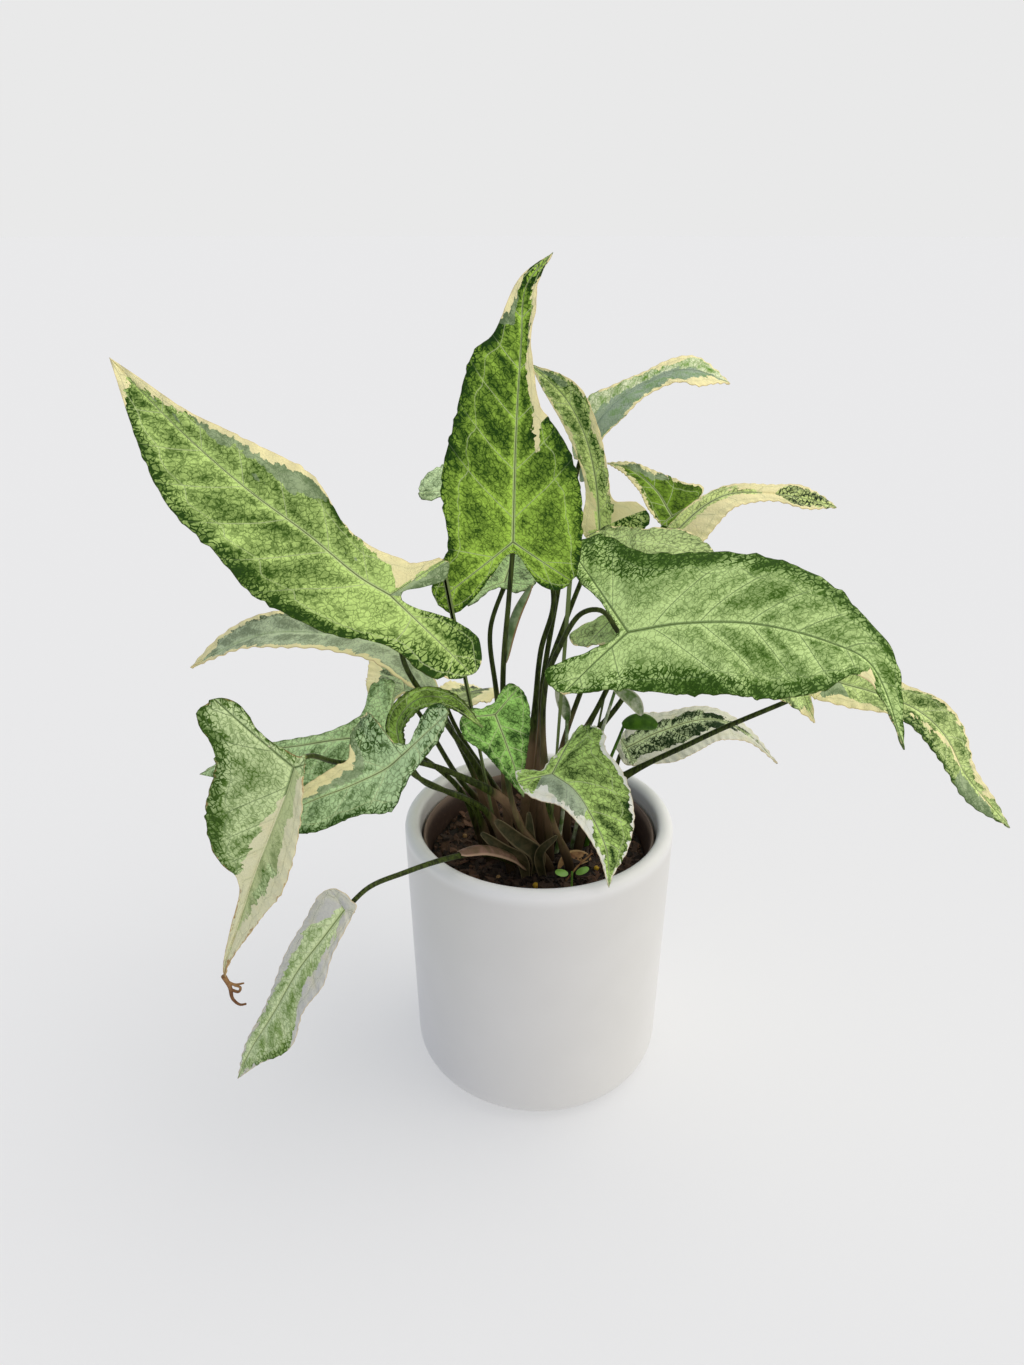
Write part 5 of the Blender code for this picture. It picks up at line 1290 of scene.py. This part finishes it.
soil_top_radius = liner_radius(SOIL_TOP - SOIL_BUMP - SOIL_EDGE_DROP) - LINER_WALL - SOIL_SIDE_GAP
soil_foot_radius = liner_radius(SOIL_BASE) - LINER_WALL - SOIL_SIDE_GAP
soil_angles = math.tau * np.arange(SOIL_SIDES) / SOIL_SIDES
soil_circle = np.stack([np.cos(soil_angles), np.sin(soil_angles)], -1)
soil_radii = soil_top_radius * np.arange(1, SOIL_RINGS + 1) / SOIL_RINGS
soil_x, soil_y = (soil_radii[:, None, None] * soil_circle).reshape(-1, 2).T
soil_z = soil_height(soil_x, soil_y) + draws.uniform(-0.7, 0.3, soil_x.size)
soil_points = np.concatenate([
    [(0.0, 0.0, soil_height(0.0, 0.0))],
    np.stack([soil_x, soil_y, soil_z], -1),
    np.column_stack([soil_foot_radius * soil_circle, np.full(SOIL_SIDES, SOIL_BASE)])])
soil_faces = [[0, 1 + k, 1 + (k + 1) % SOIL_SIDES] for k in range(SOIL_SIDES)]
soil_faces += ring_faces(SOIL_RINGS, SOIL_SIDES, 1).tolist()
soil_faces.append([1 + SOIL_RINGS * SOIL_SIDES + k for k in reversed(range(SOIL_SIDES))])
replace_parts(add_piece("soil_bed", soil_points, soil_faces, earth_material), "soil")

chip_sizes = np.column_stack([draws.uniform(2.5, 8.0, CHIPS), draws.uniform(1.5, 4.0, CHIPS),
                              draws.uniform(0.6, 1.8, CHIPS)])
crumb_sizes = draws.uniform(0.5, 1.9, (CRUMBS, 3))
chip_turns = np.column_stack([draws.uniform(0, math.tau, CHIPS), draws.uniform(-0.5, 0.5, CHIPS),
                              draws.uniform(-0.5, 0.5, CHIPS)])
crumb_turns = draws.uniform(0, math.tau, (CRUMBS, 3))
chip_places = scatter(CHIPS, 53.0, 0.6)
crumb_places = scatter(CRUMBS, 55.0, 0.4)
for name, centres, sizes, turns in (("bark_chips", chip_places, chip_sizes, chip_turns),
                                    ("peat_crumbs", crumb_places, crumb_sizes, crumb_turns)):
    points, faces = boxes(centres, sizes, turns)
    tint = np.repeat(draws.beta(1.3, 2.6, len(centres)), faces.size // len(centres))
    crumbs = add_piece(name, points, faces, earth_material, {"tint": np.column_stack([tint] * 3)})
    crumbs.data.shade_flat()

# Fertiliser beads
# Slow-release beads of a coated salt, yellow when fresh and beige when spent, scattered on the soil.
BEAD_ROWS = 8
BEAD_SIDES = 12
BEAD_LIFT = 1.2


def bead(x, y, radius):
    """A ball resting on the soil: rings of points at even latitudes, and a point at each pole."""
    latitude = np.linspace(-math.pi / 2, math.pi / 2, BEAD_ROWS + 1)[1:-1, None]
    longitude = math.tau * np.arange(BEAD_SIDES) / BEAD_SIDES
    rings = np.stack([np.cos(latitude) * np.cos(longitude), np.cos(latitude) * np.sin(longitude),
                      np.sin(latitude) + 0 * longitude], -1).reshape(-1, 3)
    middle = (x, y, float(soil_height(x, y)) + radius * BEAD_LIFT)
    points = np.concatenate([rings, [(0, 0, -1), (0, 0, 1)]]) * radius + middle
    low = len(rings)
    top = low - BEAD_SIDES
    faces = ring_faces(BEAD_ROWS - 2, BEAD_SIDES)[:, [0, 3, 2, 1]].tolist()
    for k in range(BEAD_SIDES):
        after = (k + 1) % BEAD_SIDES
        faces += [[low, after, k], [low + 1, top + k, top + after]]
    return points, faces, np.zeros(len(points))


yellow_bead = papery_material("bead_yellow", (206, 170, 50), (176, 136, 36), (206, 170, 50), 0.35)
beige_bead = papery_material("bead_beige", (186, 152, 104), (150, 116, 76), (186, 152, 104), 0.5)
add_growth("fertiliser_beads_yellow", yellow_bead, bead(-34, -5, 1.6), bead(-1, -35, 1.6), bead(30, -20, 1.4))
add_growth("fertiliser_beads_spent", beige_bead, bead(7.7, -44, 1.7), bead(-14, -38, 1.2),
           bead(-20, -30, 1.2), bead(-40, 10, 1.3), bead(36, 18, 1.5))

# Seedling
# A weed that came up by itself: a thread-thin stem that stands in the soil, with two small round seed
# leaves at its top.
SEEDLING_ROOT = (17.0, -34.5)
SEEDLING_HEIGHT = 10.5
STEM_RADIUS = 0.55
STEM_SIDES = 10
STEM_GAPS = 7
SEED_LEAF_SIZE = (3.3, 3.1)
SEED_LEAF_REACH = 5.2
SEED_LEAF_SKEW = 0.2
SEED_LEAF_LIFT = math.radians(16)
SEED_LEAF_DISH = 0.5
SEED_LEAF_HALF_THICKNESS = 0.22
SEED_LEAF_RINGS = (0.35, 0.7, 1.0)
SEED_LEAF_SIDES = 24

seedling_material, seedling_shader = new_material("seedling_green", 0.45)
put(seedling_shader, "Base Color", tone(128, 176, 74))
root_x, root_y = SEEDLING_ROOT
seedling_top = float(soil_height(root_x, root_y)) + SEEDLING_HEIGHT
stem_angles = math.tau * np.arange(STEM_SIDES) / STEM_SIDES
stem_levels = np.linspace(SOIL_TOP - ROOT_DEPTH, seedling_top, STEM_GAPS + 1)[:, None]
seedling_points = [np.stack([root_x + STEM_RADIUS * np.cos(stem_angles) + 0 * stem_levels,
                             root_y + STEM_RADIUS * np.sin(stem_angles) + 0 * stem_levels,
                             stem_levels + 0 * stem_angles], -1).reshape(-1, 3)]
seedling_faces = ring_faces(STEM_GAPS, STEM_SIDES)[:, [0, 3, 2, 1]].tolist()

# A seed leaf is u outwards and v sideways of the stem; share is 0 in its middle and 1 at its margin
share = np.concatenate([[0.0], np.repeat(SEED_LEAF_RINGS, SEED_LEAF_SIDES)])
round_leaf = math.tau * np.arange(share.size - 1) / SEED_LEAF_SIDES
round_leaf = np.concatenate([[0.0], round_leaf])
for sign in (-1, 1):
    u = SEED_LEAF_SIZE[0] * share * np.cos(round_leaf) + SEED_LEAF_REACH * sign
    v = SEED_LEAF_SIZE[1] * share * np.sin(round_leaf) + SEED_LEAF_SKEW * u
    height = seedling_top - 1.0 + np.abs(u) * math.tan(SEED_LEAF_LIFT) - SEED_LEAF_DISH * share ** 2
    for half, order in ((SEED_LEAF_HALF_THICKNESS, 1), (-SEED_LEAF_HALF_THICKNESS, -1)):
        start = sum(len(points) for points in seedling_points)
        seedling_points.append(np.stack([root_x + u, root_y + v, height + half * (1.1 - share)], -1))
        fan = [[start, start + 1 + k, start + 1 + (k + 1) % SEED_LEAF_SIDES] for k in range(SEED_LEAF_SIDES)]
        bands = ring_faces(len(SEED_LEAF_RINGS) - 1, SEED_LEAF_SIDES, start + 1).tolist()
        seedling_faces += [face[::order] for face in fan + bands]
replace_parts(add_piece("weed_seedling", np.concatenate(seedling_points), seedling_faces, seedling_material),
            "seedling")
